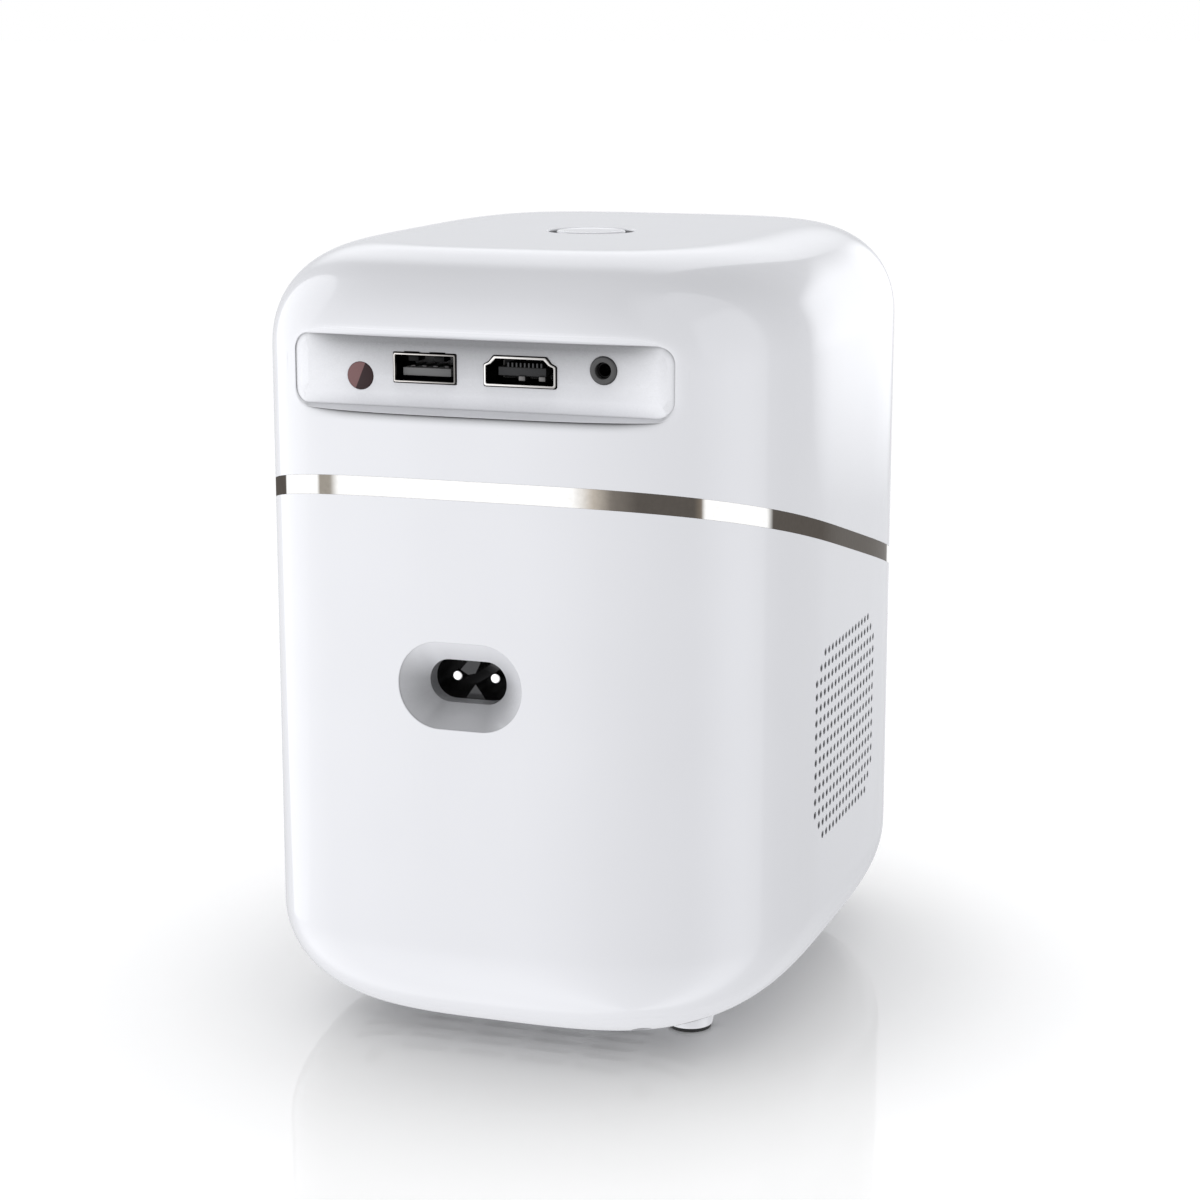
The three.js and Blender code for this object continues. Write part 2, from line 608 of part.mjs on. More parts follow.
const lensBarrel = revolved([
  [BARREL.bore, ENGINE.front + FIT], [BARREL.flange, ENGINE.front + FIT], [BARREL.flange, ENGINE.front + 3],
  [BARREL.radius, ENGINE.front + 3], [BARREL.radius, BARREL.front], [BARREL.bore, BARREL.front],
  [BARREL.bore, ENGINE.front + FIT],
], 'y', 20);
const lensCell = revolved([
  [CELL.bore, CELL.back], [CELL.radius, CELL.back], [CELL.radius, CELL.front], [CELL.lip, CELL.front],
  [CELL.lip, CELL.front - 1.4], [CELL.bore, CELL.front - 1.4], [CELL.bore, CELL.back],
], 'y', 20);
const lensRadius = CELL.bore - FIT;
const frontLens = revolved([
  [0, 62.4], [9, 63.3], [lensRadius, 65.6], [lensRadius, 67.4], [9, 69.6], [0, 70.3],
], 'y', 14);
const rearLens = revolved([
  [0, 50.6], [9, 49.6], [lensRadius, 47], [lensRadius, 55], [9, 53.6], [0, 53],
], 'y', 14);

const engineInside = ENGINE.half - ENGINE.wall;
const engineHousing = solid(box(
  -ENGINE.half, ENGINE.half, ENGINE.back, ENGINE.front, -ENGINE.half, ENGINE.half))
  .subtract(solid(box(
    -engineInside, engineInside, ENGINE.back - 1, ENGINE.front - ENGINE.wall, -engineInside, engineInside)))
  .subtract(solid(rod(BARREL.bore, ENGINE.front - 5, ENGINE.front + 1, 'y', 16)));

function opticalPlate(y0, y1) {
  const half = engineInside - FIT;
  return box(-half, half, y0, y1, -half, half);
}

const condenser = revolved([[0, -24], [23, -24], [23, -22], [19, -17], [11, -13.4], [0, -12]], 'y', 14);
const ledModule = solid(box(-24, 24, ENGINE.back + 0.4, ENGINE.back + 2, -24, 24))
  .add(solid(box(-6, 6, ENGINE.back + 1.5, ENGINE.back + 3.2, -6, 6)));

function heatSinkOutline() {
  const front = ENGINE.back - FIT;
  const root = front - HEAT_SINK.base;
  const tip = front - HEAT_SINK.depth;
  const pitch = (2 * HEAT_SINK.halfWidth - HEAT_SINK.fin) / (HEAT_SINK.fins - 1);
  const points = [[HEAT_SINK.halfWidth, front], [-HEAT_SINK.halfWidth, front]];
  for (let k = 0; k < HEAT_SINK.fins; k += 1) {
    const x = -HEAT_SINK.halfWidth + k * pitch;
    if (k > 0) points.push([x, root]);
    points.push([x, tip], [x + HEAT_SINK.fin, tip]);
    if (k < HEAT_SINK.fins - 1) points.push([x + HEAT_SINK.fin, root]);
  }
  return polygon(points);
}

const heatSink = extruded(heatSinkOutline(), 'z', -HEAT_SINK.halfHeight, HEAT_SINK.halfHeight);

const optics = assembly(0, 0, LENS_Z,
  piece('lens_bezel', lensBezel, 'chrome'),
  piece('focus_ring', focusRing, 'darkGrey'),
  piece('lens_barrel', lensBarrel, 'blackMatt'),
  piece('lens_cell', lensCell, 'blackMatt'),
  piece('lens_front', frontLens, 'glass'),
  piece('lens_rear', rearLens, 'glass'),
  piece('engine_housing', engineHousing, 'blackMatt'),
  piece('fresnel_front', opticalPlate(14, 16), 'glass'),
  piece('lcd_panel', opticalPlate(7, 9.6), 'blackGloss'),
  piece('fresnel_rear', opticalPlate(0, 2), 'glass'),
  piece('condenser_lens', condenser, 'glass'),
  piece('led_module', ledModule, 'aluminium'),
  piece('heat_sink', heatSink, 'aluminium'));

// Fan behind the perforated side, about its own axis along X

const fanHalf = FAN.size / 2;
const fanEnd = FAN.thickness / 2;
const spider = solid(box(fanEnd - 2, fanEnd, -fanHalf + 1, fanHalf - 1, -1.5, 1.5))
  .add(solid(box(fanEnd - 2, fanEnd, -1.5, 1.5, -fanHalf + 1, fanHalf - 1)))
  .add(solid(rod(FAN.hub, fanEnd - 2, fanEnd, 'x', 14)));
const fanOutline = roundedRect(-fanHalf, fanHalf, -fanHalf, fanHalf, 3);
const fanFrame = solid(extruded(fanOutline, 'x', -fanEnd, fanEnd, 1))
  .subtract(solid(rod(FAN.bore, -fanEnd - 1, fanEnd + 1, 'x', 20)))
  .add(spider);

// A blade is skinned over three thin sections that turn flatter towards the tip
function fanBlade(turn) {
  const sections = [[FAN.hub - 1.5, 50], [18, 36], [FAN.bore - 2.6, 26]].map(([radius, pitchDeg]) => {
    const pitch = THREE.MathUtils.degToRad(pitchDeg);
    const chord = radius * 0.24 + 3;
    return [[-chord, -0.5], [chord, -0.5], [chord, 0.5], [-chord, 0.5]].map(([along, thick]) =>
      new THREE.Vector3(
        -along * Math.sin(pitch) - thick * Math.cos(pitch) - 1.2,
        along * Math.cos(pitch) - thick * Math.sin(pitch),
        radius).applyAxisAngle(new THREE.Vector3(1, 0, 0), turn));
  });
  return solid(skinned(sections));
}

let fanRotor = solid(rod(FAN.hub, -fanEnd + 1, fanEnd - 2.6, 'x', 14));
for (let k = 0; k < FAN.blades; k += 1) {
  fanRotor = fanRotor.add(fanBlade((k * 2 * Math.PI) / FAN.blades));
}

const fan = assembly(FAN.x, FAN.y, FAN.z,
  piece('fan_frame', fanFrame, 'blackMatt'),
  piece('fan_rotor', fanRotor, 'darkGrey'));

// Carrier for the engine and the main board, standing on the base plate

const carrierShape = polygon([
  [-CARRIER.halfWidth, CARRIER.footZ], [-CARRIER.halfWidth + CARRIER.sheet, CARRIER.footZ],
  [-CARRIER.halfWidth + CARRIER.sheet, CARRIER.shelfZ], [CARRIER.halfWidth - CARRIER.sheet, CARRIER.shelfZ],
  [CARRIER.halfWidth - CARRIER.sheet, CARRIER.footZ], [CARRIER.halfWidth, CARRIER.footZ],
  [CARRIER.halfWidth, CARRIER.shelfZ + CARRIER.sheet], [-CARRIER.halfWidth, CARRIER.shelfZ + CARRIER.sheet],
]);
const carrierWindow = solid(extruded(roundedRect(-24, 26, 18, 74, 6), 'x', -50, 50, 2));
const standoffs = patterned(corners(24, 26, (x, y) =>
  rod(2, MAIN_BOARD_Z + BOARD + FIT, CARRIER.shelfZ + 1, 'z', 8).translate(x, y, 0)));
const carrier = solid(extruded(carrierShape, 'y', CARRIER.back, CARRIER.front))
  .subtract(carrierWindow)
  .add(standoffs);

const powerTop = POWER_BOARD_Z + BOARD + FIT;
const electronics = assembly(0, 0, 0,
  piece('carrier', carrier, 'darkGrey'),
  piece('main_board', box(-29, 29, -32, 34, MAIN_BOARD_Z, MAIN_BOARD_Z + BOARD), 'board'),
  piece('power_board', box(-28, 28, -14, 36, POWER_BOARD_Z, POWER_BOARD_Z + BOARD), 'board'),
  piece('transformer', box(-12, 10, 8, 28, powerTop, powerTop + 17), 'darkGrey'),
  placed(piece('mains_capacitor', rod(6.5, powerTop, powerTop + 22, 'z', 12), 'blackGloss'), -20, -4, 0));

// Speaker facing down onto the slots

const basket = revolved([
  [15.5, 0], [SPEAKER.radius, 0], [SPEAKER.radius, 1.5], [17.2, 1.5], [10.8, 9.8],
  [0, 9.8], [0, 8.4], [9.8, 8.4], [15.5, 1.3], [15.5, 0],
], 'z', 14);
const cone = revolved([
  [0, 5.5], [5, 5.5], [14.2, 0.8], [15.1, 0.8], [15.1, 1.3], [14.4, 1.4], [5.2, 6.2], [0, 6.2],
], 'z', 14);
const speaker = assembly(0, SPEAKER.y, SPEAKER.z,
  piece('speaker_basket', basket, 'blackMatt'),
  piece('speaker_cone', cone, 'paper'),
  piece('speaker_magnet', rod(10, 9.8 + FIT, 17, 'z', 14), 'darkGrey'));

const projector = new THREE.Group();
projector.name = 'video_projector';
projector.add(housings, ...pads, sockets, inlet, button, optics, fan, electronics, speaker);

export default projector;
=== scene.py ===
"""Looks of an upright table-top video projector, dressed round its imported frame.

Shapes are worked out in millimetres and turned into the frame's metres when a piece is seated.
"""
import math

import bmesh
import bpy
import numpy as np
from mathutils import Matrix, Vector


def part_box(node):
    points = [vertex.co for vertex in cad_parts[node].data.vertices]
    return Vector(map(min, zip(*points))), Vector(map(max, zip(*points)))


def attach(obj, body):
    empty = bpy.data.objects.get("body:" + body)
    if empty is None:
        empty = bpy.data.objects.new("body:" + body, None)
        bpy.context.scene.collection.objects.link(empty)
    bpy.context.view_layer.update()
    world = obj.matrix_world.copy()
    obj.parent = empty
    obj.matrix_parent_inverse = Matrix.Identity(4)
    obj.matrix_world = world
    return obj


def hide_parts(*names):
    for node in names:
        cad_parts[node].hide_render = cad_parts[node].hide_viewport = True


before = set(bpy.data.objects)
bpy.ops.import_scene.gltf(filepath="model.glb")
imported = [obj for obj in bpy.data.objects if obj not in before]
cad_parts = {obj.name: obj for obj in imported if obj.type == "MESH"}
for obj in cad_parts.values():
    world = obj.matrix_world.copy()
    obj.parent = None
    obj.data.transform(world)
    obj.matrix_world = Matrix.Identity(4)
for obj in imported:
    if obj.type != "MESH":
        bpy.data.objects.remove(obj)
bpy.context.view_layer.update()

MM = 0.001
RIGHT_ANGLE = math.radians(90)


def node_box(node):
    """Lowest and highest corner of a frame node, in millimetres."""
    low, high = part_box(node)
    return low / MM, high / MM


# Case form
HALF_WIDTH = node_box("lower_housing")[1].x
HALF_DEPTH = node_box("lower_housing")[1].y
TOP_Z = node_box("upper_housing")[1].z
GROUND_GAP = 4.0
WALL = 2.4
FRONT_POWER = 4.0
BACK_POWER = 3.5
TOP_ROUND = {"reach": 23.5, "rise": 22.5, "power": 2.25}
FOOT_ROUND = {"reach": 23.5, "rise": 22.5, "power": 2.0}
# Where each rounding starts, and whether it runs down or up from there
ROUNDS = ((GROUND_GAP + FOOT_ROUND["rise"], -1, FOOT_ROUND), (TOP_Z - TOP_ROUND["rise"], 1, TOP_ROUND))
PLAN_POINTS = 288
ROUND_STEPS = 22

# Trim band
BAND_BACK_Z = 125.2
BAND_FALL = 0.26
BAND_HEIGHT = 4.1
BAND_THICKNESS = 1.2
HAIRLINE = 0.03

# Socket recess
RECESS = {"x": -0.6, "half_width": 42.4, "bottom": 141.1, "top": 156.4, "corner": 4.2, "floor_y": -71.5}
RECESS_END_DEPTH = 0.55
RECESS_DRAFT = 0.55
RECESS_LIP = 2.8
RECESS_FILLET = 0.2
# The lip comes down this far over the recess
RECESS_OVERHANG = 0.45
# Scoop under the ledge: (distance below its edge, share of the scoop's depth), then clear of the surface
RECESS_SCOOP = [(0.05, 0.06), (0.08, 1.0), (0.5, 0.7), (1.1, 0.36), (1.7, 0.12), (2.3, -0.02)]
RECESS_SCOOP_DEPTH = 0.5
SOCKET_FRONT_Y = -71.95
SOCKET_GAP = 0.26
SPRING_NOTCH = {"place": 2.85, "half_width": 1.75, "height": 0.42}
# Painted shade inside a socket: how deep it goes dark, and how dark it gets
SOCKET_SHADE_DEPTH = 0.0012
SOCKET_SHADE_SHARE = 0.93
# Tongue and root: reach to each side, (root: length,) lowest and highest place; contacts: reach, start, lowest,
# highest, count, pitch, place; springs: places, reach, start, end, lowest, highest, rounding
TYPE_A = {
    "x": -12.6, "z": 149.4, "width": 13.7, "height": 6.0, "sheet": 0.32, "depth": 12.6, "stepped": False,
    "corner": 0.35, "inner_corner": 0.2, "end": 0.7, "tongue": (5.35, -1.75, -0.1), "root": (5.7, 3.4, -2.3, 2.3),
    "contacts": (0.5, 3.2, -0.1, 0.2, 4, 2.5, 0.0), "springs": ((-2.85, 2.85), 1.2, 1.2, 5.0, 1.25, 2.45, 0.3)}
DISPLAY = {
    "x": 8.4, "z": 149.5, "width": 15.6, "height": 6.1, "sheet": 0.4, "depth": 10.6, "stepped": True,
    "corner": 0.5, "inner_corner": 0.35, "end": 0.8, "tongue": (5.2, -1.0, 0.75), "root": (6.0, 3.2, -2.1, 1.9),
    "contacts": (0.2, 1.3, 0.8, 1.75, 9, 0.9, 0.7), "springs": ((0.1, 4.5), 0.72, 1.1, 4.5, -1.95, -0.95, 0.16)}
JACK = {"x": 26.4, "z": 150.5, "radius": 2.85, "bore": 1.7}
INFRARED = {"x": -27.1, "z": 147.3, "radius": 2.9}

# Mains inlet
INLET = {"x": -3.3, "z": 83.7, "mouth_y": -72.3, "seat_y": -68.6, "ridge_y": -68.2, "floor_y": -57.0}
# Ribs of the inlet's plug seat, about its middle
INLET_RIDGE = [(-2.1, -6.0), (2.1, -6.0), (2.1, -4.4), (0.0, -1.5), (-2.1, -4.4)]
INLET_CREST = [(-1.9, 6.0), (1.1, 6.0), (1.1, 3.2), (0.0, 0.9), (-1.7, 0.5), (-3.4, 1.5), (-1.9, 3.2)]
FUNNEL_RIM = (27.4, 18.5)
FUNNEL_LIP = 0.3
INLET_MOUTH = (17.2, 9.2)
PIN = {"spacing": 8.6, "radius": 1.15, "tip_y": -67.8, "tail_y": -50.0}

# Perforated field in the right side
VENT = {"Rows": 15, "Columns": 18, "Pitch": 2.975, "Radius": 0.87, "Centre_Y": -2.0, "Centre_Z": 63.0,
        "Clipped_Corner": 2}

# Base cover and feet
BASE = {"half_width": 46.0, "half_depth": 70.0, "corner": 20.0}
SLOT = {"length": 11.0, "width": 2.4, "column_pitch": 13.7, "row_pitch": 5.5, "first_y": -58.0,
        "columns": 6, "rows": 7}
FOOT = {"x": 35.3, "y": 37.7, "top": 5.5, "bottom": 4.95, "bottom_z": 0.85}
PAD = {"radius": 4.7, "thickness": 0.85}
SCREW = {"x": 31.5, "y": 61.0, "recess": 2.2, "head": 1.9}

# Power button
BUTTON = {"y": -3.0, "radius": 7.8, "hole": 9.9, "hole_edge": 0.45, "rise": 0.15, "skirt": 11.2}
# Dish of the cap: (distance inwards from its side, fall)
BUTTON_DISH = [(1.0, 0.01), (1.4, 0.05), (2.0, 0.1), (2.8, 0.14), (4.0, 0.16), (7.8, 0.16)]

# Lens
LENS_Z = 119.0
LENS_HOLE = 26.0
GLASS_RADIUS = 16.3
GLASS_STEPS = 20


# Case form, as formulas

def plan_inset(z):
    """How far the plan is drawn in at a height, and how fast that grows as the height does."""
    z = np.asarray(z, float)
    inset = np.zeros_like(z)
    slope = np.zeros_like(z)
    for start, up, edge in ROUNDS:
        reach, rise, power = edge["reach"], edge["rise"], edge["power"]
        along = np.clip(up * (z - start) / rise, 0.0, 1.0 - 1e-9)
        left = 1.0 - along**power
        inset += reach * (1.0 - left ** (1.0 / power))
        slope += up * reach / rise * along ** (power - 1.0) * left ** (1.0 / power - 1.0)
    return inset, slope


def back_y(x, z):
    """The y of the case's rear surface over a point of the x-z plane."""
    inset, _ = plan_inset(z)
    across = np.clip(np.abs(np.asarray(x, float)) / (HALF_WIDTH - inset), 0.0, 1.0)
    return -(HALF_DEPTH - inset) * (1.0 - across**BACK_POWER) ** (1.0 / BACK_POWER)


def form_normals(points):
    """Outward unit normals of the case form, and each point's distance from its surface."""
    x, y, z = points.T
    power = np.where(y > 0, FRONT_POWER, BACK_POWER)
    inset, slope = plan_inset(z)
    a = HALF_WIDTH - inset
    b = HALF_DEPTH - inset
    u = np.abs(x) / a
    v = np.abs(y) / b
    level = u**power + v**power - 1.0
    gradient = np.stack([
        power * np.sign(x) * u ** (power - 1) / a,
        power * np.sign(y) * v ** (power - 1) / b,
        power * (u**power / a + v**power / b) * slope,
    ], axis=1)
    length = np.maximum(np.linalg.norm(gradient, axis=1), 1e-12)
    distance = np.abs(level) / length
    normals = gradient / length[:, None]
    for height, up in ((TOP_Z, 1.0), (GROUND_GAP, -1.0)):
        on_flat = (np.abs(z - height) < 1e-3) & (level < 1e-3)
        normals[on_flat] = (0.0, 0.0, up)
        distance[on_flat] = 0.0
    return normals, distance


def plan_ring(half_width, half_depth, z):
    """One level of the case: a superellipse, squarer at the front than at the back."""
    ring = []
    for k in range(PLAN_POINTS):
        angle = 2 * math.pi * (k + 0.5) / PLAN_POINTS
        c = math.cos(angle)
        s = math.sin(angle)
        power = 2 / (FRONT_POWER if s > 0 else BACK_POWER)
        x = math.copysign(abs(c) ** power, c) * half_width
        y = math.copysign(abs(s) ** power, s) * half_depth
        ring.append((x, y, z))
    return ring


def case_form(inward=0.0):
    """The whole case as one closed form, drawn in evenly from its outside."""
    levels = []
    for start, up, edge in ROUNDS:
        side = []
        for k in range(ROUND_STEPS + 1):
            angle = k / ROUND_STEPS * math.pi / 2
            inset = (edge["reach"] - inward) * (1 - math.cos(angle) ** (2 / edge["power"]))
            rise = (edge["rise"] - inward) * math.sin(angle) ** (2 / edge["power"])
            side.append((start + up * rise, inset))
        levels += side[::-1] if up < 0 else side
    rings = [plan_ring(HALF_WIDTH - inward - inset, HALF_DEPTH - inward - inset, z) for z, inset in levels]
    return skinned("case_form", rings)


def hollow_case(thickness):
    return cut(case_form(), case_form(thickness))


# Meshes

def new_object(name, points, faces):
    mesh = bpy.data.meshes.new(name)
    mesh.from_pydata([tuple(p) for p in points], [], faces)
    mesh.validate()
    body = bpy.data.objects.new(name, mesh)
    bpy.context.scene.collection.objects.link(body)
    return body


def faced_outwards(body, pointed=False):
    """Merges double points and turns every face outwards; a pointed body loses its faces without area."""
    bm = bmesh.new()
    bm.from_mesh(body.data)
    bmesh.ops.remove_doubles(bm, verts=bm.verts, dist=1e-5)
    if pointed:
        bmesh.ops.dissolve_degenerate(bm, edges=bm.edges, dist=1e-6)
    bmesh.ops.recalc_face_normals(bm, faces=bm.faces)
    bm.to_mesh(body.data)
    bm.free()
    return body


def skinned(name, rings):
    """A closed body over a stack of rings that all have the same number of points."""
    count = len(rings[0])
    points = [p for ring in rings for p in ring]
    faces = [list(range(count)), list(range((len(rings) - 1) * count, len(rings) * count))]
    for r in range(len(rings) - 1):
        for k in range(count):
            a = r * count + k
            b = r * count + (k + 1) % count
            faces.append([a, b, b + count, a + count])
    return faced_outwards(new_object(name, points, faces))


def outline_points(corners, radius, steps=6):
    """A closed outline whose corners are rounded. Corners are (u, v) or (u, v, own radius)."""
    points = []
    count = len(corners)
    for k in range(count):
        here = Vector(corners[k][:2])
        before = Vector(corners[k - 1][:2]) - here
        after = Vector(corners[(k + 1) % count][:2]) - here
        own = corners[k][2] if len(corners[k]) > 2 else radius
        turn = before.angle(after) / 2
        if own <= 0 or turn > math.pi / 2 - 0.02:
            points.append(tuple(here))
            continue
        reach = min(own / math.tan(turn), 0.49 * before.length, 0.49 * after.length)
        own = reach * math.tan(turn)
        middle = here + (before.normalized() + after.normalized()).normalized() * (own / math.sin(turn))
        first = here + before.normalized() * reach - middle
        last = here + after.normalized() * reach - middle
        sweep = first.angle_signed(last)
        for step in range(steps + 1):
            spoke = first.copy()
            spoke.rotate(Matrix.Rotation(-sweep * step / steps, 2))
            points.append(tuple(middle + spoke))
    return points


def lathe(name, profile, axis, centre=(0, 0, 0), radius=0.0, segments=64, steps=5):
    """Turns a closed profile of (distance from the axis, place along it) about an axis."""
    rounded = radius > 0 or any(len(corner) > 2 for corner in profile)
    outline = outline_points(profile, radius, steps) if rounded else profile
    points = []
    for k in range(segments):
        angle = 2 * math.pi * k / segments
        for away, along in outline:
            c = away * math.cos(angle)
            s = away * math.sin(angle)
            spot = {"x": (along, c, s), "y": (s, along, c), "z": (c, s, along)}[axis]
            points.append(tuple(spot[i] + centre[i] for i in range(3)))
    count = len(outline)
    faces = []
    for k in range(segments):
        for j in range(count):
            a = k * count + j
            b = k * count + (j + 1) % count
            c = (k + 1) % segments * count + j
            d = (k + 1) % segments * count + (j + 1) % count
            faces.append([a, c, d, b])
    return faced_outwards(new_object(name, points, faces), pointed=True)


LAID = {
    "x": lambda u, v, w: (w, u, v),
    "y": lambda u, v, w: (u, w, v),
    "z": lambda u, v, w: (u, v, w),
}


def prism(name, outline, axis, start, end):
    """An outline pushed along an axis. The outline is (x, y) for z, (x, z) for y and (y, z) for x."""
    lay = LAID[axis]
    return skinned(name, [[lay(u, v, w) for u, v in outline] for w in (start, end)])


def block(name, low, high):
    """A plain box, as a tool or to be given its edges later."""
    x0, y0, z0 = low
    x1, y1, z1 = high
    return prism(name, oblong(x0, y0, x1, y1), "z", z0, z1)


def oblong(left, low, right, high):
    return [(left, low), (right, low), (right, high), (left, high)]


def stadium(width, height, x=0.0, z=0.0, steps=16):
    return outline_points(oblong(x - width / 2, z - height / 2, x + width / 2, z + height / 2), height / 2, steps)


def circle(radius, x=0.0, z=0.0, count=48):
    return [(x + radius * math.cos(2 * math.pi * k / count), z + radius * math.sin(2 * math.pi * k / count))
            for k in range(count)]


def settled(body):
    """Replaces an object's mesh by what its modifiers make of it, and removes them."""
    bpy.context.view_layer.update()
    shaped = body.evaluated_get(bpy.context.evaluated_depsgraph_get())
    mesh = bpy.data.meshes.new_from_object(shaped)
    body.modifiers.clear()
    old = body.data
    body.data = mesh
    bpy.data.meshes.remove(old)
    return body


def combined(body, operation, tools):
    for tool in tools:
        change = body.modifiers.new("shape", "BOOLEAN")
        change.operation = operation
        change.solver = "MANIFOLD"
        change.object = tool
        settled(body)
        bpy.data.objects.remove(tool)
    return body


def cut(body, *tools):
    return combined(body, "DIFFERENCE", tools)


def fused(body, *tools):
    return combined(body, "UNION", tools)


def common(body, *tools):
    return combined(body, "INTERSECT", tools)


def joined(name, bodies):
    """Puts several separate bodies into one mesh."""
    bm = bmesh.new()
    for body in bodies:
        bm.from_mesh(body.data)
        bpy.data.objects.remove(body)
    mesh = bpy.data.meshes.new(name)
    bm.to_mesh(mesh)
    bm.free()
    whole = bpy.data.objects.new(name, mesh)
    bpy.context.scene.collection.objects.link(whole)
    return whole


def eased(body, width):
    """Rounds a body's sharp edges."""
    change = body.modifiers.new("edges", "BEVEL")
    change.width = width
    change.segments = 2
    change.limit_method = "ANGLE"
    change.angle_limit = math.radians(35)
    change.use_clamp_overlap = True
    return settled(body)


FORM_TOLERANCE = 0.012


def shaded(body, angle=32, on_form=False):
    """Smooth shading, and on the case's own surface the form's true normals."""
    mesh = body.data
    mesh.polygons.foreach_set("use_smooth", [True] * len(mesh.polygons))
    mesh.set_sharp_from_angle(angle=math.radians(angle))
    if not on_form:
        return
    places = np.zeros(len(mesh.vertices) * 3)
    mesh.vertices.foreach_get("co", places)
    form, distance = form_normals(places.reshape(-1, 3))
    loops = np.zeros(len(mesh.loops) * 3)
    mesh.corner_normals.foreach_get("vector", loops)
    loops = loops.reshape(-1, 3)
    for face in mesh.polygons:
        corners = np.array(face.vertices)
        if distance[corners].max() > FORM_TOLERANCE:
            continue
        if np.dot(form[corners].mean(axis=0), np.array(face.normal)) < 0.6:
            continue
        loops[face.loop_start:face.loop_start + face.loop_total] = form[corners]
    mesh.attributes.new("depth", "FLOAT", "POINT").data.foreach_set("value", distance)
    mesh.normals_split_custom_set(loops.tolist())


# Node trees

def operation(name, turned=False):
    """A method that adds a math node for a value and others, or for the others and the value."""
    def work(self, *others):
        return maths(self.tree, name, *((*others, self) if turned else (self, *others)))
    return work


class Value:
    """An output of a node. Arithmetic on it adds math nodes to its tree."""

    def __init__(self, tree, node, output=0):
        self.tree = tree
        self.node = node
        self.socket = node.outputs[output]

    def out(self, name):
        return Value(self.tree, self.node, name)

    __add__ = operation("ADD")
    __sub__ = operation("SUBTRACT")
    __rsub__ = operation("SUBTRACT", turned=True)
    __mul__ = operation("MULTIPLY")
    __truediv__ = operation("DIVIDE")
    __rtruediv__ = operation("DIVIDE", turned=True)
    __pow__ = operation("POWER")
    __lt__ = operation("LESS_THAN")
    __gt__ = operation("GREATER_THAN")
    __abs__ = operation("ABSOLUTE")
    least = operation("MINIMUM")
    most = operation("MAXIMUM")

    def clipped(self):
        return self.least(1.0).most(0.0)


def fill(tree, node, **inputs):
    """Sets or links a node's inputs, by name or, where names repeat, by place as _0 and _1."""
    for label, value in inputs.items():
        socket = node.inputs[int(label[1:]) if label[0] == "_" else label.replace("_", " ")]
        if isinstance(value, Value):
            tree.links.new(value.socket, socket)
        elif socket.type == "RGBA":
            socket.default_value = (*value, 1.0) if hasattr(value, "__len__") else (value, value, value, 1.0)
        else:
            socket.default_value = value


def add(tree, kind, settings=None, **inputs):
    """Adds a node and gives its first output."""
    node = tree.nodes.new(kind)
    for label, value in (settings or {}).items():
        setattr(node, label, value)
    fill(tree, node, **inputs)
    return Value(tree, node)


def numbered(values):
    return {f"_{k}": value for k, value in enumerate(values)}


def maths(tree, name, *values):
    return add(tree, "ShaderNodeMath", {"operation": name}, **numbered(values))


def vectors(name, *values):
    result = add(values[0].tree, "ShaderNodeVectorMath", {"operation": name}, **numbered(values))
    return result.out("Value" if name in ("DOT_PRODUCT", "LENGTH") else "Vector")


def axes(vector):
    split = add(vector.tree, "ShaderNodeSeparateXYZ", Vector=vector)
    return [split.out(axis) for axis in "XYZ"]


def combined_axes(tree, **inputs):
    return add(tree, "ShaderNodeCombineXYZ", **inputs)


def object_place(tree):
    return add(tree, "ShaderNodeTexCoord").out("Object")


def surface_normal(tree):
    return add(tree, "ShaderNodeNewGeometry").out("Normal")


def noise(place, scale, detail):
    return add(place.tree, "ShaderNodeTexNoise", Vector=place, Scale=scale, Detail=detail).out("Fac")


def faded(value, start, end, first, last):
    """Runs smoothly from one number to another as a value crosses a range."""
    return add(value.tree, "ShaderNodeMapRange", {"interpolation_type": "SMOOTHSTEP"}, Value=value,
               From_Min=start, From_Max=end, To_Min=first, To_Max=last)


def mixed(tree, factor, a, b, blend="MIX"):
    settings = {"data_type": "RGBA", "blend_type": blend}
    return add(tree, "ShaderNodeMix", settings, Factor=factor, A=a, B=b).out("Result")


def tinted(colour, shade):
    """A colour varied over the surface by a shade about one."""
    grey = add(shade.tree, "ShaderNodeCombineColor", Red=shade, Green=shade, Blue=shade)
    return mixed(shade.tree, 1.0, colour, grey, "MULTIPLY")


def bumped(height, distance):
    return add(height.tree, "ShaderNodeBump", Strength=1.0, Distance=distance, Height=height)


def ramp(value, stops):
    """A colour ramp over stops of (place, grey or colour)."""
    result = add(value.tree, "ShaderNodeValToRGB", Fac=value)
    elements = result.node.color_ramp.elements
    elements.remove(elements[-1])
    for k, (place, colour) in enumerate(stops):
        element = elements[0] if k == 0 else elements.new(place)
        element.position = place
        element.color = (*colour, 1.0) if hasattr(colour, "__len__") else (colour, colour, colour, 1.0)
    return result.out("Color")


# Shader groups: each function gets its tree and named inputs, and gives the named outputs

def shader_group(build, outputs=("Mask",), **inputs):
    group = bpy.data.node_groups.new(build.__name__, "ShaderNodeTree")
    for label, value in inputs.items():
        socket = group.interface.new_socket(label.replace("_", " "), in_out="INPUT", socket_type="NodeSocketFloat")
        socket.default_value = value
    for label in outputs:
        group.interface.new_socket(label, in_out="OUTPUT", socket_type="NodeSocketFloat")
    start = group.nodes.new("NodeGroupInput")
    results = build(group, *[Value(group, start, label.replace("_", " ")) for label in inputs])
    fill(group, group.nodes.new("NodeGroupOutput"), **dict(zip(outputs, results)))
    return group


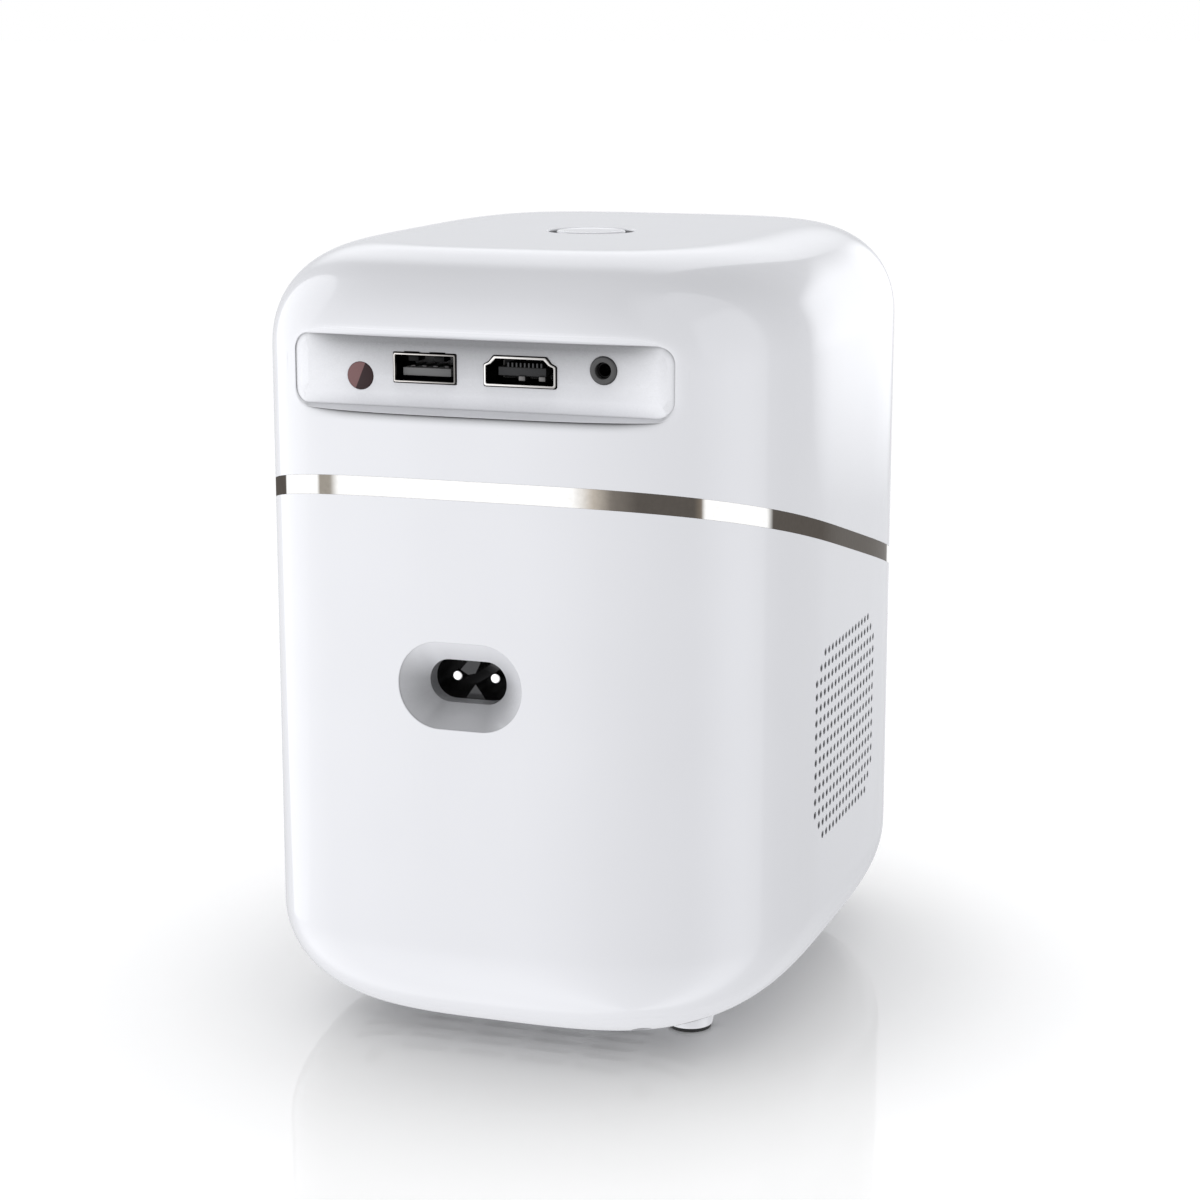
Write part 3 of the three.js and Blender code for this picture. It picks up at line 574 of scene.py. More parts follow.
def moulded_surface(tree, grain_scale, grain_depth, wave_scale, wave_depth, roughness, spread):
    """Fine grain, slow unevenness and faint handling marks of a moulded surface."""
    place = object_place(tree)
    wave = noise(place, wave_scale, 1.0)
    height = noise(place, grain_scale, 3.0) * grain_depth + wave * wave_depth
    return height, (noise(place, 140.0, 6.0) - 0.5) * spread + roughness, (wave - 0.5) * 0.03 + 1.0


def drawn_metal(tree, across_x, across_y, across_z, roughness, spread):
    """Fine lines along one direction, as on rolled, drawn or turned metal."""
    scale = combined_axes(tree, X=across_x, Y=across_y, Z=across_z)
    lines = noise(vectors("MULTIPLY", object_place(tree), scale), 1.0, 4.0)
    centred = lines - 0.5
    return lines, centred * spread + roughness, centred * 0.2 + 1.0


def settled_dust(tree, amount, speck_scale):
    """A mask of fine dust on what faces up."""
    place = object_place(tree)
    upward = axes(surface_normal(tree))[2].most(0.0)
    return [upward * noise(place, speck_scale, 4.0) * noise(place, 60.0, 3.0) * amount]


def sunk_share(tree):
    """0 on the case's own surface, 1 from a sixth of a millimetre below it."""
    return (add(tree, "ShaderNodeAttribute", {"attribute_name": "depth"}).out("Fac") * 6.0).least(1.0)


def overhung_shade(tree, reach, lean, strength):
    """Painted shade: a mask that falls where nearby parts of the same body hang over a wall; not on ledges or
    undersides.
    """
    normal = surface_normal(tree)
    upward = axes(normal)[2]
    sheer = (upward * 1.6 + 1.0).clipped() * (1.0 - upward.most(0.0) ** 4.0)
    leaning = vectors("NORMALIZE", vectors("ADD", normal, combined_axes(tree, Z=lean * sheer)))
    hidden = add(tree, "ShaderNodeAmbientOcclusion", {"only_local": True, "samples": 10}, Distance=reach,
                 Normal=leaning).out("AO")
    # A plain surface hides this much from a leaning hemisphere by itself
    open_share = vectors("DOT_PRODUCT", normal, leaning) * 0.5 + 0.5
    return [(1.0 - (open_share - hidden) * strength * sheer * sunk_share(tree)).most(0.0)]


def funnel_shade(tree, strength):
    """Painted shade on the inlet funnel's walls turned up and to the right, and painted light on those opposite, as
    one mask.
    """
    x, _, z = axes(surface_normal(tree))
    away = faded((x + z) * 0.707, -0.55, 0.5, -0.4, 1.0)
    x, y, z = axes(object_place(tree))
    inside = y < -0.06
    for place, middle, reach in ((x, INLET["x"], 16.0), (z, INLET["z"], 12.0)):
        inside = inside * (abs(place - middle * MM) < reach * MM)
    return [1.0 - away * inside * sunk_share(tree) * strength]


def button_gap_shade(tree, strength, depth):
    """Painted shade: a mask that falls with depth in the gap round the power button."""
    x, y, z = axes(object_place(tree))
    away = vectors("LENGTH", combined_axes(tree, X=x, Y=y - BUTTON["y"] * MM))
    deep = (((TOP_Z - 0.25) * MM - z) / depth).clipped()
    return [1.0 - deep * (away < (BUTTON["hole"] + 0.2) * MM) * strength]


def socket_painted_shade(tree, left, width, right_level, front):
    """Painted shade: a mask that falls deeper into a metal socket and from its left to its right."""
    x, y, _ = axes(object_place(tree))
    across = ((x - left) / width).clipped()
    inward = ((y - front) / SOCKET_SHADE_DEPTH).clipped()
    return [(1.0 - across * (1.0 - right_level)) * (1.0 - inward * SOCKET_SHADE_SHARE)]


SURFACE = ("Height", "Roughness", "Shade")
MOULDED = shader_group(moulded_surface, SURFACE, Grain_Scale=2600.0, Grain_Depth=0.1, Wave_Scale=45.0,
                       Wave_Depth=0.6, Roughness=0.3, Roughness_Spread=0.06)
DRAWN = shader_group(drawn_metal, SURFACE, Across_X=900.0, Across_Y=40.0, Across_Z=900.0, Roughness=0.25, Spread=0.15)
DUST = shader_group(settled_dust, Amount=0.2, Speck_Scale=1800.0)
# Masks of painted shade, and of painted light on the funnel's far walls, that multiply a colour
OVERHUNG = shader_group(overhung_shade, Reach=0.012, Lean=2.0, Strength=1.2)
IN_FUNNEL = shader_group(funnel_shade, Strength=0.36)
IN_BUTTON_GAP = shader_group(button_gap_shade, Strength=0.75, Depth=0.0004)
SOCKET_SHADE = shader_group(socket_painted_shade, Left=-0.02, Width=0.014, Right_Level=0.5, Front=-0.072)


# Materials

def new_material(name):
    material = bpy.data.materials.new(name)
    material.use_nodes = True
    return material, material.node_tree, material.node_tree.nodes["Principled BSDF"]


def placed(tree, group, **values):
    return add(tree, "ShaderNodeGroup", {"node_tree": group}, **values)


def dressed(tree, surface, colour, look, depth, **others):
    fill(tree, surface, Base_Color=colour, Roughness=look.out("Roughness"),
         Normal=bumped(look.out("Height"), depth), **others)


def moulded(name, colour, roughness, grain=0.1, wave=0.6, depth=0.00001, coat=0.0, grain_scale=2600.0,
            dust=0.0, shade=0.0):
    """A moulded plastic or rubber, glossy or matt."""
    material, tree, surface = new_material(name)
    look = placed(tree, MOULDED, Grain_Depth=grain, Wave_Depth=wave, Roughness=roughness, Grain_Scale=grain_scale)
    shading = look.out("Shade")
    # Painted shade in overhung hollows, the inlet funnel and the button gap, and painted light on the funnel's
    # opposite walls
    if shade > 0:
        for mask in (placed(tree, OVERHUNG, Strength=shade), placed(tree, IN_FUNNEL), placed(tree, IN_BUTTON_GAP)):
            shading = shading * mask
    paint = tinted(colour, shading)
    if dust > 0:
        paint = mixed(tree, placed(tree, DUST, Amount=dust), paint, (0.55, 0.54, 0.52))
    dressed(tree, surface, paint, look, depth, IOR=1.5, Coat_Weight=coat, Coat_Roughness=0.04)
    return material


def metal(name, colour, roughness, spread=0.1, lines=(900.0, 900.0, 900.0), depth=0.000002, socket=None):
    """A bare, plated or drawn metal. A socket's own has painted shade inwards and rightwards: (left edge, width,
    level at the right).
    """
    material, tree, surface = new_material(name)
    look = placed(tree, DRAWN, Roughness=roughness, Spread=spread, Across_X=lines[0], Across_Y=lines[1],
                  Across_Z=lines[2])
    shading = look.out("Shade")
    if socket:
        left, width, right_level = socket
        # Painted shade deeper in the socket and towards its right
        shading = shading * placed(tree, SOCKET_SHADE, Left=left * MM, Width=width * MM, Right_Level=right_level,
                                   Front=SOCKET_FRONT_Y * MM)
    dressed(tree, surface, tinted(colour, shading), look, depth, Metallic=1.0)
    return material


def smoked_window():
    """Dark red plastic over the receiver, with a painted highlight on one side of a slanting line."""
    material, tree, surface = new_material("smoked_window")
    x, _, z = axes(object_place(tree))
    # Painted highlight: lighter red on one side of a slanting line across the window
    across = x - INFRARED["x"] * MM - (z - INFRARED["z"] * MM) * 0.42
    step = add(tree, "ShaderNodeMapRange", Value=across, From_Min=-0.00004, From_Max=0.00008)
    look = placed(tree, MOULDED, Grain_Depth=0.02, Wave_Depth=0.1, Roughness=0.12, Roughness_Spread=0.03)
    dressed(tree, surface, mixed(tree, step, (0.2, 0.105, 0.105), (0.03, 0.012, 0.013)), look, 0.000005, IOR=1.33)
    return material


def coated_glass():
    """Clear optical glass with a faint violet coating."""
    material, tree, surface = new_material("coated_glass")
    look = placed(tree, MOULDED, Grain_Depth=0.0, Wave_Depth=0.02, Roughness=0.012, Roughness_Spread=0.008)
    fill(tree, surface, Base_Color=tinted((0.93, 0.95, 0.97), look.out("Shade")), Roughness=look.out("Roughness"),
         Transmission_Weight=1.0, IOR=1.52, Specular_Tint=(0.72, 0.62, 1.0))
    return material


def circuit_board():
    """Green lacquer over copper tracks, with tinned pads."""
    material, tree, surface = new_material("circuit_board")
    place = object_place(tree)
    tracks = add(tree, "ShaderNodeTexBrick", Vector=place, Scale=160.0, Mortar_Size=0.06, Color1=(0.012, 0.10, 0.045),
                 Color2=(0.010, 0.13, 0.055), Mortar=(0.03, 0.22, 0.09))
    pads = add(tree, "ShaderNodeTexVoronoi", Vector=place, Scale=260.0).out("Distance") < 0.22
    fill(tree, surface, Base_Color=mixed(tree, pads, tracks, (0.62, 0.6, 0.56)), Normal=bumped(pads, 0.00005),
         Roughness=placed(tree, MOULDED, Roughness=0.35).out("Roughness"))
    return material


SHEET_LINES = (1500.0, 60.0, 1500.0)
WHITE = moulded("white_gloss_plastic", (0.787, 0.794, 0.83), 0.3, coat=1.0, wave=0.5, depth=0.000006, shade=1.4)
CHROME = metal("mirror_chrome", (0.95, 0.945, 0.935), 0.0, spread=0.0, depth=0.0000002)
STEEL = metal("socket_steel", (0.74, 0.71, 0.67), 0.24, lines=SHEET_LINES)
# The two socket steels carry painted shade inside and towards their right
TYPE_A_STEEL = metal("type_a_socket_steel", (0.82, 0.78, 0.73), 0.24, lines=SHEET_LINES,
                     socket=(TYPE_A["x"] - 7, 14.0, 0.3))
DISPLAY_STEEL = metal("display_socket_steel", (0.86, 0.83, 0.79), 0.24, lines=SHEET_LINES,
                      socket=(DISPLAY["x"] - 8, 16.0, 0.6))
# Painted shade: metal deep inside the sockets is nearly black or dark grey, as it lies in shade
DARK_STEEL = metal("spring_steel", (0.015, 0.015, 0.015), 0.4)
SHADED_STEEL = metal("worn_steel", (0.16, 0.155, 0.15), 0.4)
NICKEL = metal("pin_nickel", (0.95, 0.94, 0.92), 0.12, spread=0.06, lines=(700.0, 60.0, 700.0))
ALUMINIUM = metal("extruded_aluminium", (0.6, 0.61, 0.62), 0.38, lines=(900.0, 900.0, 30.0), depth=0.00001)
BLACK_GLOSS = moulded("black_gloss_plastic", (0.006, 0.006, 0.0065), 0.16, coat=0.3)
BLACK_MATT = moulded("black_matt_plastic", (0.013, 0.013, 0.014), 0.55, grain=0.6, depth=0.00003, dust=0.1)
DARK_PLASTIC = moulded("dark_grey_plastic", (0.05, 0.05, 0.052), 0.42, grain=0.5, depth=0.00002)
JACK_PLASTIC = moulded("jack_plastic", (0.06, 0.06, 0.06), 0.3, grain=0.2)
CONTACT_GREY = moulded("contact_carrier_plastic", (0.15, 0.15, 0.15), 0.4, grain=0.3)
RUBBER = moulded("pad_rubber", (0.008, 0.008, 0.008), 0.75, grain=1.0, depth=0.00004)
PAPER = moulded("speaker_paper", (0.03, 0.03, 0.032), 0.85, grain=1.5, depth=0.00006, grain_scale=900.0)
SMOKED = smoked_window()
GLASS = coated_glass()
BOARD = circuit_board()


def seated(body, name, material, *nodes, on="projector", angle=32, on_form=False):
    """Shades a finished body, turns it into metres and sets it on its moving body of the frame."""
    shaded(body, angle, on_form)
    body.name = name
    body.data.name = name
    body.data.transform(Matrix.Scale(MM, 4))
    body.data.materials.clear()
    body.data.materials.append(material)
    body.data.update()
    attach(body, on)
    if nodes:
        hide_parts(*nodes)


# Geometry trees: each function gets its tree and named inputs, and gives the shape

def geometry_tree(build, **inputs):
    """A tree with named sizes and a material, ending in Realize Instances or a cut, and Set Material."""
    tree = bpy.data.node_groups.new(build.__name__, "GeometryNodeTree")
    tree.interface.new_socket("Geometry", in_out="INPUT", socket_type="NodeSocketGeometry")
    for label, value in inputs.items():
        kind = "NodeSocketInt" if isinstance(value, int) else "NodeSocketFloat"
        tree.interface.new_socket(label.replace("_", " "), in_out="INPUT", socket_type=kind).default_value = value
    tree.interface.new_socket("Material", in_out="INPUT", socket_type="NodeSocketMaterial")
    tree.interface.new_socket("Geometry", in_out="OUTPUT", socket_type="NodeSocketGeometry")
    start = Value(tree, tree.nodes.new("NodeGroupInput"))
    shape = build(tree, start, *[start.out(label.replace("_", " ")) for label in inputs])
    painted = add(tree, "GeometryNodeSetMaterial", Geometry=shape, Material=start.out("Material"))
    fill(tree, tree.nodes.new("NodeGroupOutput"), Geometry=painted)
    return tree


def run_tree(body, tree, **values):
    """Runs a tree on a body with these inputs, and keeps the plain mesh."""
    change = body.modifiers.new(tree.name, "NODES")
    change.node_group = tree
    for item in tree.interface.items_tree:
        label = item.name.replace(" ", "_")
        if item.in_out == "INPUT" and label in values:
            change[item.identifier] = values[label]
    return settled(body)


def copies(tree, points, shape, rotation):
    instances = add(tree, "GeometryNodeInstanceOnPoints", Points=points, Instance=shape, Rotation=rotation)
    return add(tree, "GeometryNodeRealizeInstances", Geometry=instances)


def grid(tree, columns, rows, column_pitch, row_pitch):
    return add(tree, "GeometryNodeMeshGrid", Size_X=(columns - 1.0) * column_pitch, Size_Y=(rows - 1.0) * row_pitch,
               Vertices_X=columns, Vertices_Y=rows)


def from_end(place, count):
    """How far a place in a row is from the nearer end of the row."""
    return place.least(count - 1.0 - place)


def perforated_field(tree, body, rows, columns, pitch, radius, x, y, z, depth, corner):
    """Cuts a field of round holes with stepped corners through a wall that faces along x."""
    index = add(tree, "GeometryNodeInputIndex")
    steps = (from_end(maths(tree, "FLOOR", index / rows), columns)
             + from_end(maths(tree, "MODULO", index, rows), rows))
    clipped = add(tree, "GeometryNodeDeleteGeometry", Geometry=grid(tree, columns, rows, pitch, pitch),
                  Selection=steps < corner)
    turned = add(tree, "GeometryNodeTransform", Geometry=clipped, Rotation=(RIGHT_ANGLE, 0.0, RIGHT_ANGLE))
    put = add(tree, "GeometryNodeSetPosition", Geometry=turned, Offset=combined_axes(tree, X=x, Y=y, Z=z))
    drill = add(tree, "GeometryNodeMeshCylinder", Vertices=20, Radius=radius, Depth=depth)
    drills = copies(tree, put, drill, (0.0, RIGHT_ANGLE, 0.0))
    return add(tree, "GeometryNodeMeshBoolean", {"operation": "DIFFERENCE", "solver": "MANIFOLD"}, _0=body, _1=drills)


def repeated_in_row(tree, body, count, pitch):
    """Repeats the body it is given along x, the row's middle at the origin."""
    first = combined_axes(tree, X=(count - 1.0) * pitch * -0.5)
    points = add(tree, "GeometryNodeMeshLine", Count=count, Start_Location=first, Offset=combined_axes(tree, X=pitch))
    return copies(tree, points, body, (0.0, 0.0, 0.0))


def repeated_in_ring(tree, body, count):
    """Repeats the body it is given round an axis along y."""
    points = add(tree, "GeometryNodeMeshLine", Count=count, Offset=(0.0, 0.0, 0.0))
    turn = add(tree, "GeometryNodeInputIndex") * (2 * math.pi / count)
    return copies(tree, points, body, combined_axes(tree, Y=turn))


PERFORATED = geometry_tree(perforated_field, Rows=15, Columns=18, Pitch=2.975, Radius=0.8, Centre_X=60.0,
                           Centre_Y=0.0, Centre_Z=60.0, Depth=12.0, Clipped_Corner=2)
IN_ROW = geometry_tree(repeated_in_row, Count=4, Pitch=1.0)
IN_RING = geometry_tree(repeated_in_ring, Count=24)


def moved(body, x=0.0, z=0.0):
    body.data.transform(Matrix.Translation((x, 0.0, z)))
    return body


# Housings

ABOVE = 300.0
BELOW = -50.0


def band_z(y):
    return BAND_BACK_Z - BAND_FALL * (y + HALF_DEPTH)


def side_of_band(offset, far_level):
    """Everything between the band's slanting plane, moved up by an offset, and a far level."""
    reach = 2 * HALF_DEPTH
    edge = [(y, band_z(y) + offset) for y in (-reach, reach)]
    return prism("side", [*edge, (reach, far_level), (-reach, far_level)], "x", -2 * HALF_WIDTH, 2 * HALF_WIDTH)


def rounding(steps, degrees=90.0, first=0):
    """Steps of a rounding: share run outwards, and share still to rise."""
    for k in range(first, steps + 1):
        angle = math.radians(k / steps * degrees)
        yield 1 - math.cos(angle), 1 - math.sin(angle)


def recess_outline():
    """The recess seen from behind, with many points along its long sides."""
    corners = outline_points(oblong(RECESS["x"] - RECESS["half_width"], RECESS["bottom"],
                                    RECESS["x"] + RECESS["half_width"], RECESS["top"]), RECESS["corner"], 12)
    dense = []
    for k, here in enumerate(corners):
        after = corners[(k + 1) % len(corners)]
        parts = 48 if abs(after[0] - here[0]) > 40 else 1
        dense += [Vector(here).lerp(Vector(after), p / parts) for p in range(parts)]
    return dense


def recess_depth(x, z):
    """The recess floor is flat, and follows the case at its two ends."""
    surface = float(back_y(x, z))
    return max(RECESS["floor_y"], surface + RECESS_END_DEPTH) - surface


def recess_over(deep):
    """Section of the recess above and at its ends: (spread outwards, depth) from its floor to its lip."""
    fillet = min(RECESS_FILLET, 0.4 * deep)
    lip = min(RECESS_LIP, 0.5 * deep)
    edge = -RECESS_OVERHANG
    return ([(-4.0, deep), (-2.0, deep), (edge - RECESS_FILLET, deep)]
            + [(edge - RECESS_FILLET * left, deep - fillet * out) for out, left in rounding(4, first=1)]
            + [(edge + RECESS_LIP * out, lip * left) for out, left in rounding(8, 86.0)])


def recess_under(deep):
    """Section below: a ledge that runs out to a crisp edge, over a shallow scoop."""
    fillet = min(0.2, 0.4 * deep)
    scoop = min(RECESS_SCOOP_DEPTH, 0.12 * deep)
    return ([(-4.0, deep), (-2.0, deep), (-0.4, deep)]
            + [(-0.2 * left, deep - fillet * out) for out, left in rounding(4, first=1)]
            + [(RECESS_DRAFT * (1 - share), (deep - 0.2) * share + 0.02) for share in (0.66, 0.33, 0.0)]
            + [(RECESS_DRAFT + spread, share * scoop if share > 0 else share) for spread, share in RECESS_SCOOP])


def recess_tool():
    """What the moulding tool leaves out: a flat floor, drafted walls, a soft lip and a crisp ledge."""
    outline = recess_outline()
    rings = []
    for step, (over, under) in enumerate(zip(recess_over(1.0), recess_under(1.0))):
        ring = []
        for k, here in enumerate(outline):
            along = outline[(k + 1) % len(outline)] - outline[k - 1]
            outwards = Vector((along.y, -along.x)).normalized()
            low = min(max((RECESS["bottom"] + RECESS["corner"] - here.y) / RECESS["corner"], 0.0), 1.0)
            low = low * low * (3 - 2 * low)
            x, z = here + outwards * (over[0] + (under[0] - over[0]) * low)
            deep = recess_depth(x, z)
            ring.append((x, float(back_y(x, z)) + recess_over(deep)[step][1] * (1 - low)
                         + recess_under(deep)[step][1] * low, z))
        rings.append(ring)
    rings.append([(x, y - 1.0, z) for x, y, z in rings[-1]])
    rings.append([(x, -HALF_DEPTH - 6.0, z) for x, y, z in rings[-1]])
    return skinned("recess_tool", rings)


def socket_outline(socket, spread, radius):
    """A socket's outline: an oblong, or wide below with stepped corners above."""
    w = socket["width"] / 2 + spread
    h = socket["height"] / 2 + spread
    corners = oblong(-w, -h, w, h)
    if socket["stepped"]:
        right = [(w, h * 0.42), (w - 1.1, h * 0.58), (w - 2.2, h)]
        corners[2:] = right + [(-u, v) for u, v in reversed(right)]
    return [(socket["x"] + u, socket["z"] + v) for u, v in outline_points(corners, radius, 4)]


def socket_cuts():
    """Openings of the recess floor, with two notches over the springs of the flat socket."""
    y0 = RECESS["floor_y"] - 2.0
    y1 = RECESS["floor_y"] + 5.0
    outlines = [socket_outline(socket, SOCKET_GAP, socket["corner"]) for socket in (TYPE_A, DISPLAY)]
    outlines += [circle(JACK["radius"] + 0.1, JACK["x"], JACK["z"]),
                 circle(INFRARED["radius"] + 0.06, INFRARED["x"], INFRARED["z"])]
    low = TYPE_A["z"] + TYPE_A["height"] / 2
    for side in (-1, 1):
        middle = TYPE_A["x"] + side * SPRING_NOTCH["place"]
        outlines.append(oblong(middle - SPRING_NOTCH["half_width"], low,
                               middle + SPRING_NOTCH["half_width"], low + SPRING_NOTCH["height"]))
    return [prism("cut", outline, "y", y0, y1) for outline in outlines]


def upper_shell():
    tub = prism("tub", outline_points(oblong(-RECESS["half_width"] - 3, RECESS["bottom"] - 3,
                                             RECESS["half_width"] + 3, RECESS["top"] + 3), 6),
                "y", -HALF_DEPTH, RECESS["floor_y"] + 2.2)
    body = fused(hollow_case(WALL), common(tub, case_form(WALL / 2)))
    body = common(body, side_of_band(BAND_HEIGHT / 2 + HAIRLINE, ABOVE))
    edge = BUTTON["hole_edge"]
    hole = BUTTON["hole"]
    rim = [(hole + edge * out, TOP_Z - edge * left) for out, left in rounding(5, 80.0)]
    opening = [(0, TOP_Z - 10), (hole, TOP_Z - 10), *rim, (rim[-1][0], TOP_Z + 5), (0, TOP_Z + 5)]
    return cut(body, recess_tool(), *socket_cuts(),
               lathe("tool", opening, "z", (0, BUTTON["y"], 0), segments=96),
               lathe("tool", oblong(0, 60, LENS_HOLE, 90), "y", (0, 0, LENS_Z), segments=96))


def funnel_tool():
    """The inlet's sloped funnel, from its rim on the case to the mouth."""
    def ring(part, depth_at):
        width, height = (small + (large - small) * part for small, large in zip(INLET_MOUTH, FUNNEL_RIM))
        return [(x, depth_at(x, z), z) for x, z in stadium(width, height, INLET["x"], INLET["z"], 24)]

    reach = (FUNNEL_RIM[0] - INLET_MOUTH[0]) / 2
    rings = [ring(0.0, lambda x, z: INLET["seat_y"] + 3.0), ring(0.0, lambda x, z: INLET["mouth_y"])]
    for out, left in rounding(4, 70.0):
        part = 1.0 + FUNNEL_LIP * out / reach
        rings.append(ring(part, lambda x, z: float(back_y(x, z)) + FUNNEL_LIP * left))
    rings.append(ring(part, lambda x, z: -HALF_DEPTH - 4.0))
    return skinned("funnel_tool", rings)


def base_prism(spread):
    w = BASE["half_width"] + spread
    d = BASE["half_depth"] + spread
    return prism("base_prism", outline_points(oblong(-w, -d, w, d), BASE["corner"] + spread, 16), "z", -5.0, 24.0)


def lower_shell():
    funnel_wall = prism("funnel_wall", stadium(FUNNEL_RIM[0] + 3, FUNNEL_RIM[1] + 3, INLET["x"], INLET["z"]),
                        "y", -HALF_DEPTH + 1, INLET["seat_y"])
    body = common(fused(hollow_case(WALL), funnel_wall), side_of_band(-BAND_HEIGHT / 2 - HAIRLINE, BELOW))
    return run_tree(cut(body, base_prism(HAIRLINE), funnel_tool()), PERFORATED, Centre_X=HALF_WIDTH,
                    Material=WHITE, **VENT)


def trim_ring():
    body = common(hollow_case(BAND_THICKNESS), side_of_band(BAND_HEIGHT / 2, BELOW))
    return common(body, side_of_band(-BAND_HEIGHT / 2, ABOVE))


def slot_tools():
    """Cutting tools of the air slots: rows of round-ended slots, clear of the feet."""
    tools = []
    for row in range(SLOT["rows"]):
        y = SLOT["first_y"] + row * SLOT["row_pitch"]
        short = row == 0 or abs(y + FOOT["y"]) < 8
        slot = prism("slot", stadium(SLOT["length"], SLOT["width"], 0, y, 8), "z", -1.0, 30.0)
        tools.append(run_tree(slot, IN_ROW, Count=SLOT["columns"] - 2 * short, Pitch=SLOT["column_pitch"],
                              Material=WHITE))
    return tools


def corners_of(place):
    """The four places at the same distances from the middle: front right, front left, back left, back right."""
    x, y = place["x"], place["y"]
    return [(x, y), (-x, y), (-x, -y), (x, -y)]


def base_cover():
    body = common(hollow_case(WALL), base_prism(0.0))
    foot = [(0, FOOT["bottom_z"]), (FOOT["bottom"], FOOT["bottom_z"], 0.35), (FOOT["top"], GROUND_GAP - 0.4, 0.3),
            (FOOT["top"] + 0.5, GROUND_GAP + 0.3), (0, GROUND_GAP + 0.3)]
    for x, y in corners_of(FOOT):
        body = fused(body, lathe("foot", foot, "z", (x, y, 0)))
    wells = [prism("tool", circle(SCREW["recess"], x, y), "z", -1.0, 30.0) for x, y in corners_of(SCREW)]
    return cut(body, *slot_tools(), *wells)


def screw_heads():
    """Cross-recessed heads down in the base cover's screw wells."""
    heads = []
    for x, y in corners_of(SCREW):
        head = lathe("head", [(0, 9.0), (SCREW["head"], 9.0), (SCREW["head"], 10.6), (0, 10.6)], "z", (x, y, 0),
                     radius=0.4, segments=32)
        for long, short in ((0.28, 1.3), (1.3, 0.28)):
            head = cut(head, block("cross", (x - long, y - short, 8.0), (x + long, y + short, 9.9)))
        heads.append(head)
    return joined("screw_heads", heads)


def make_housings():
    seated(upper_shell(), "upper_shell", WHITE, "upper_housing", on_form=True)
    seated(lower_shell(), "lower_shell", WHITE, "lower_housing", on_form=True)
    seated(trim_ring(), "trim_ring", CHROME, "trim_band", on_form=True)
    seated(base_cover(), "base_cover", WHITE, "base_plate", on_form=True)
    seated(screw_heads(), "base_screw_heads", STEEL)


def make_feet():
    profile = [(0, 0), (PAD["radius"], 0, 0.25), (PAD["radius"], PAD["thickness"], 0.1), (0, PAD["thickness"])]
    for name, (x, y) in zip(("front_right", "front_left", "back_left", "back_right"), corners_of(FOOT)):
        seated(lathe("pad", profile, "z", (x, y, 0), steps=4), f"rubber_pad_{name}", RUBBER, f"foot_pad_{name}")


# Sockets

def make_socket(socket, name, materials, shell_node, tongue_node):
    """A sheet shell with a tongue on its root, a row of contacts and two springs."""
    x, z = socket["x"], socket["z"]
    front = SOCKET_FRONT_Y
    back = front + socket["depth"]
    sheet = socket["sheet"]

    def bar(reach, start, end, low, high, ease=0.0, middle=x):
        shape = block("bar", (middle - reach, start, z + low), (middle + reach, end, z + high))
        return eased(shape, ease) if ease > 0 else shape

    shell = cut(prism("shell", socket_outline(socket, 0.0, socket["corner"]), "y", front, back),
                prism("tool", socket_outline(socket, -sheet, socket["inner_corner"]), "y", front - 1, back - sheet))
    seated(eased(shell, 0.12), f"{name}_shell", materials[0], shell_node)
    end = back - socket["end"]
    reach, low, high = socket["tongue"]
    tongue = bar(reach, front + 1.6, end, low, high, 0.12)
    reach, length, low, high = socket["root"]
    root = bar(reach, back - length, end, low, high)
    seated(joined("tongue", [tongue, root]), f"{name}_tongue", materials[1], tongue_node)
    reach, start, low, high, count, pitch, aside = socket["contacts"]
    contact = bar(reach, front + start, back - length, low, high, 0.08, middle=0.0)
    contacts = run_tree(contact, IN_ROW, Count=count, Pitch=pitch, Material=materials[2])
    seated(moved(contacts, x=x + aside), f"{name}_contacts", materials[2])
    places, reach, start, end, low, high, ease = socket["springs"]
    springs = [bar(reach, front + start, front + end, low, high, ease, middle=x + place) for place in places]
    seated(joined("springs", springs), f"{name}_springs", materials[3])


def make_jack_and_window():
    nose = [(JACK["bore"], -60.0), (JACK["bore"], SOCKET_FRONT_Y, 0.15), (JACK["radius"], SOCKET_FRONT_Y, 0.3),
            (JACK["radius"], -68.5), (3.2, -68.5), (3.2, -58.0), (0, -58.0), (0, -60.0)]
    contact = [(1.25, -70.6), (1.62, -70.6), (1.62, -66.0), (1.25, -66.0)]
    place = (JACK["x"], 0, JACK["z"])
    seated(lathe("jack", nose, "y", place), "av_jack_nose", JACK_PLASTIC, "av_jack")
    seated(lathe("contact", contact, "y", place, radius=0.1), "av_jack_contact", DARK_STEEL)
    r = INFRARED["radius"]
    front = RECESS["floor_y"] - 0.12
    disc = [(0, front), (r, front, 0.12), (r, -69.0), (r + 1, -69.0), (r + 1, -68.2), (0, -68.2)]
    window = lathe("window", disc, "y", (INFRARED["x"], 0, INFRARED["z"]), steps=4)
    seated(window, "infrared_window", SMOKED, "ir_window")


# Mains inlet

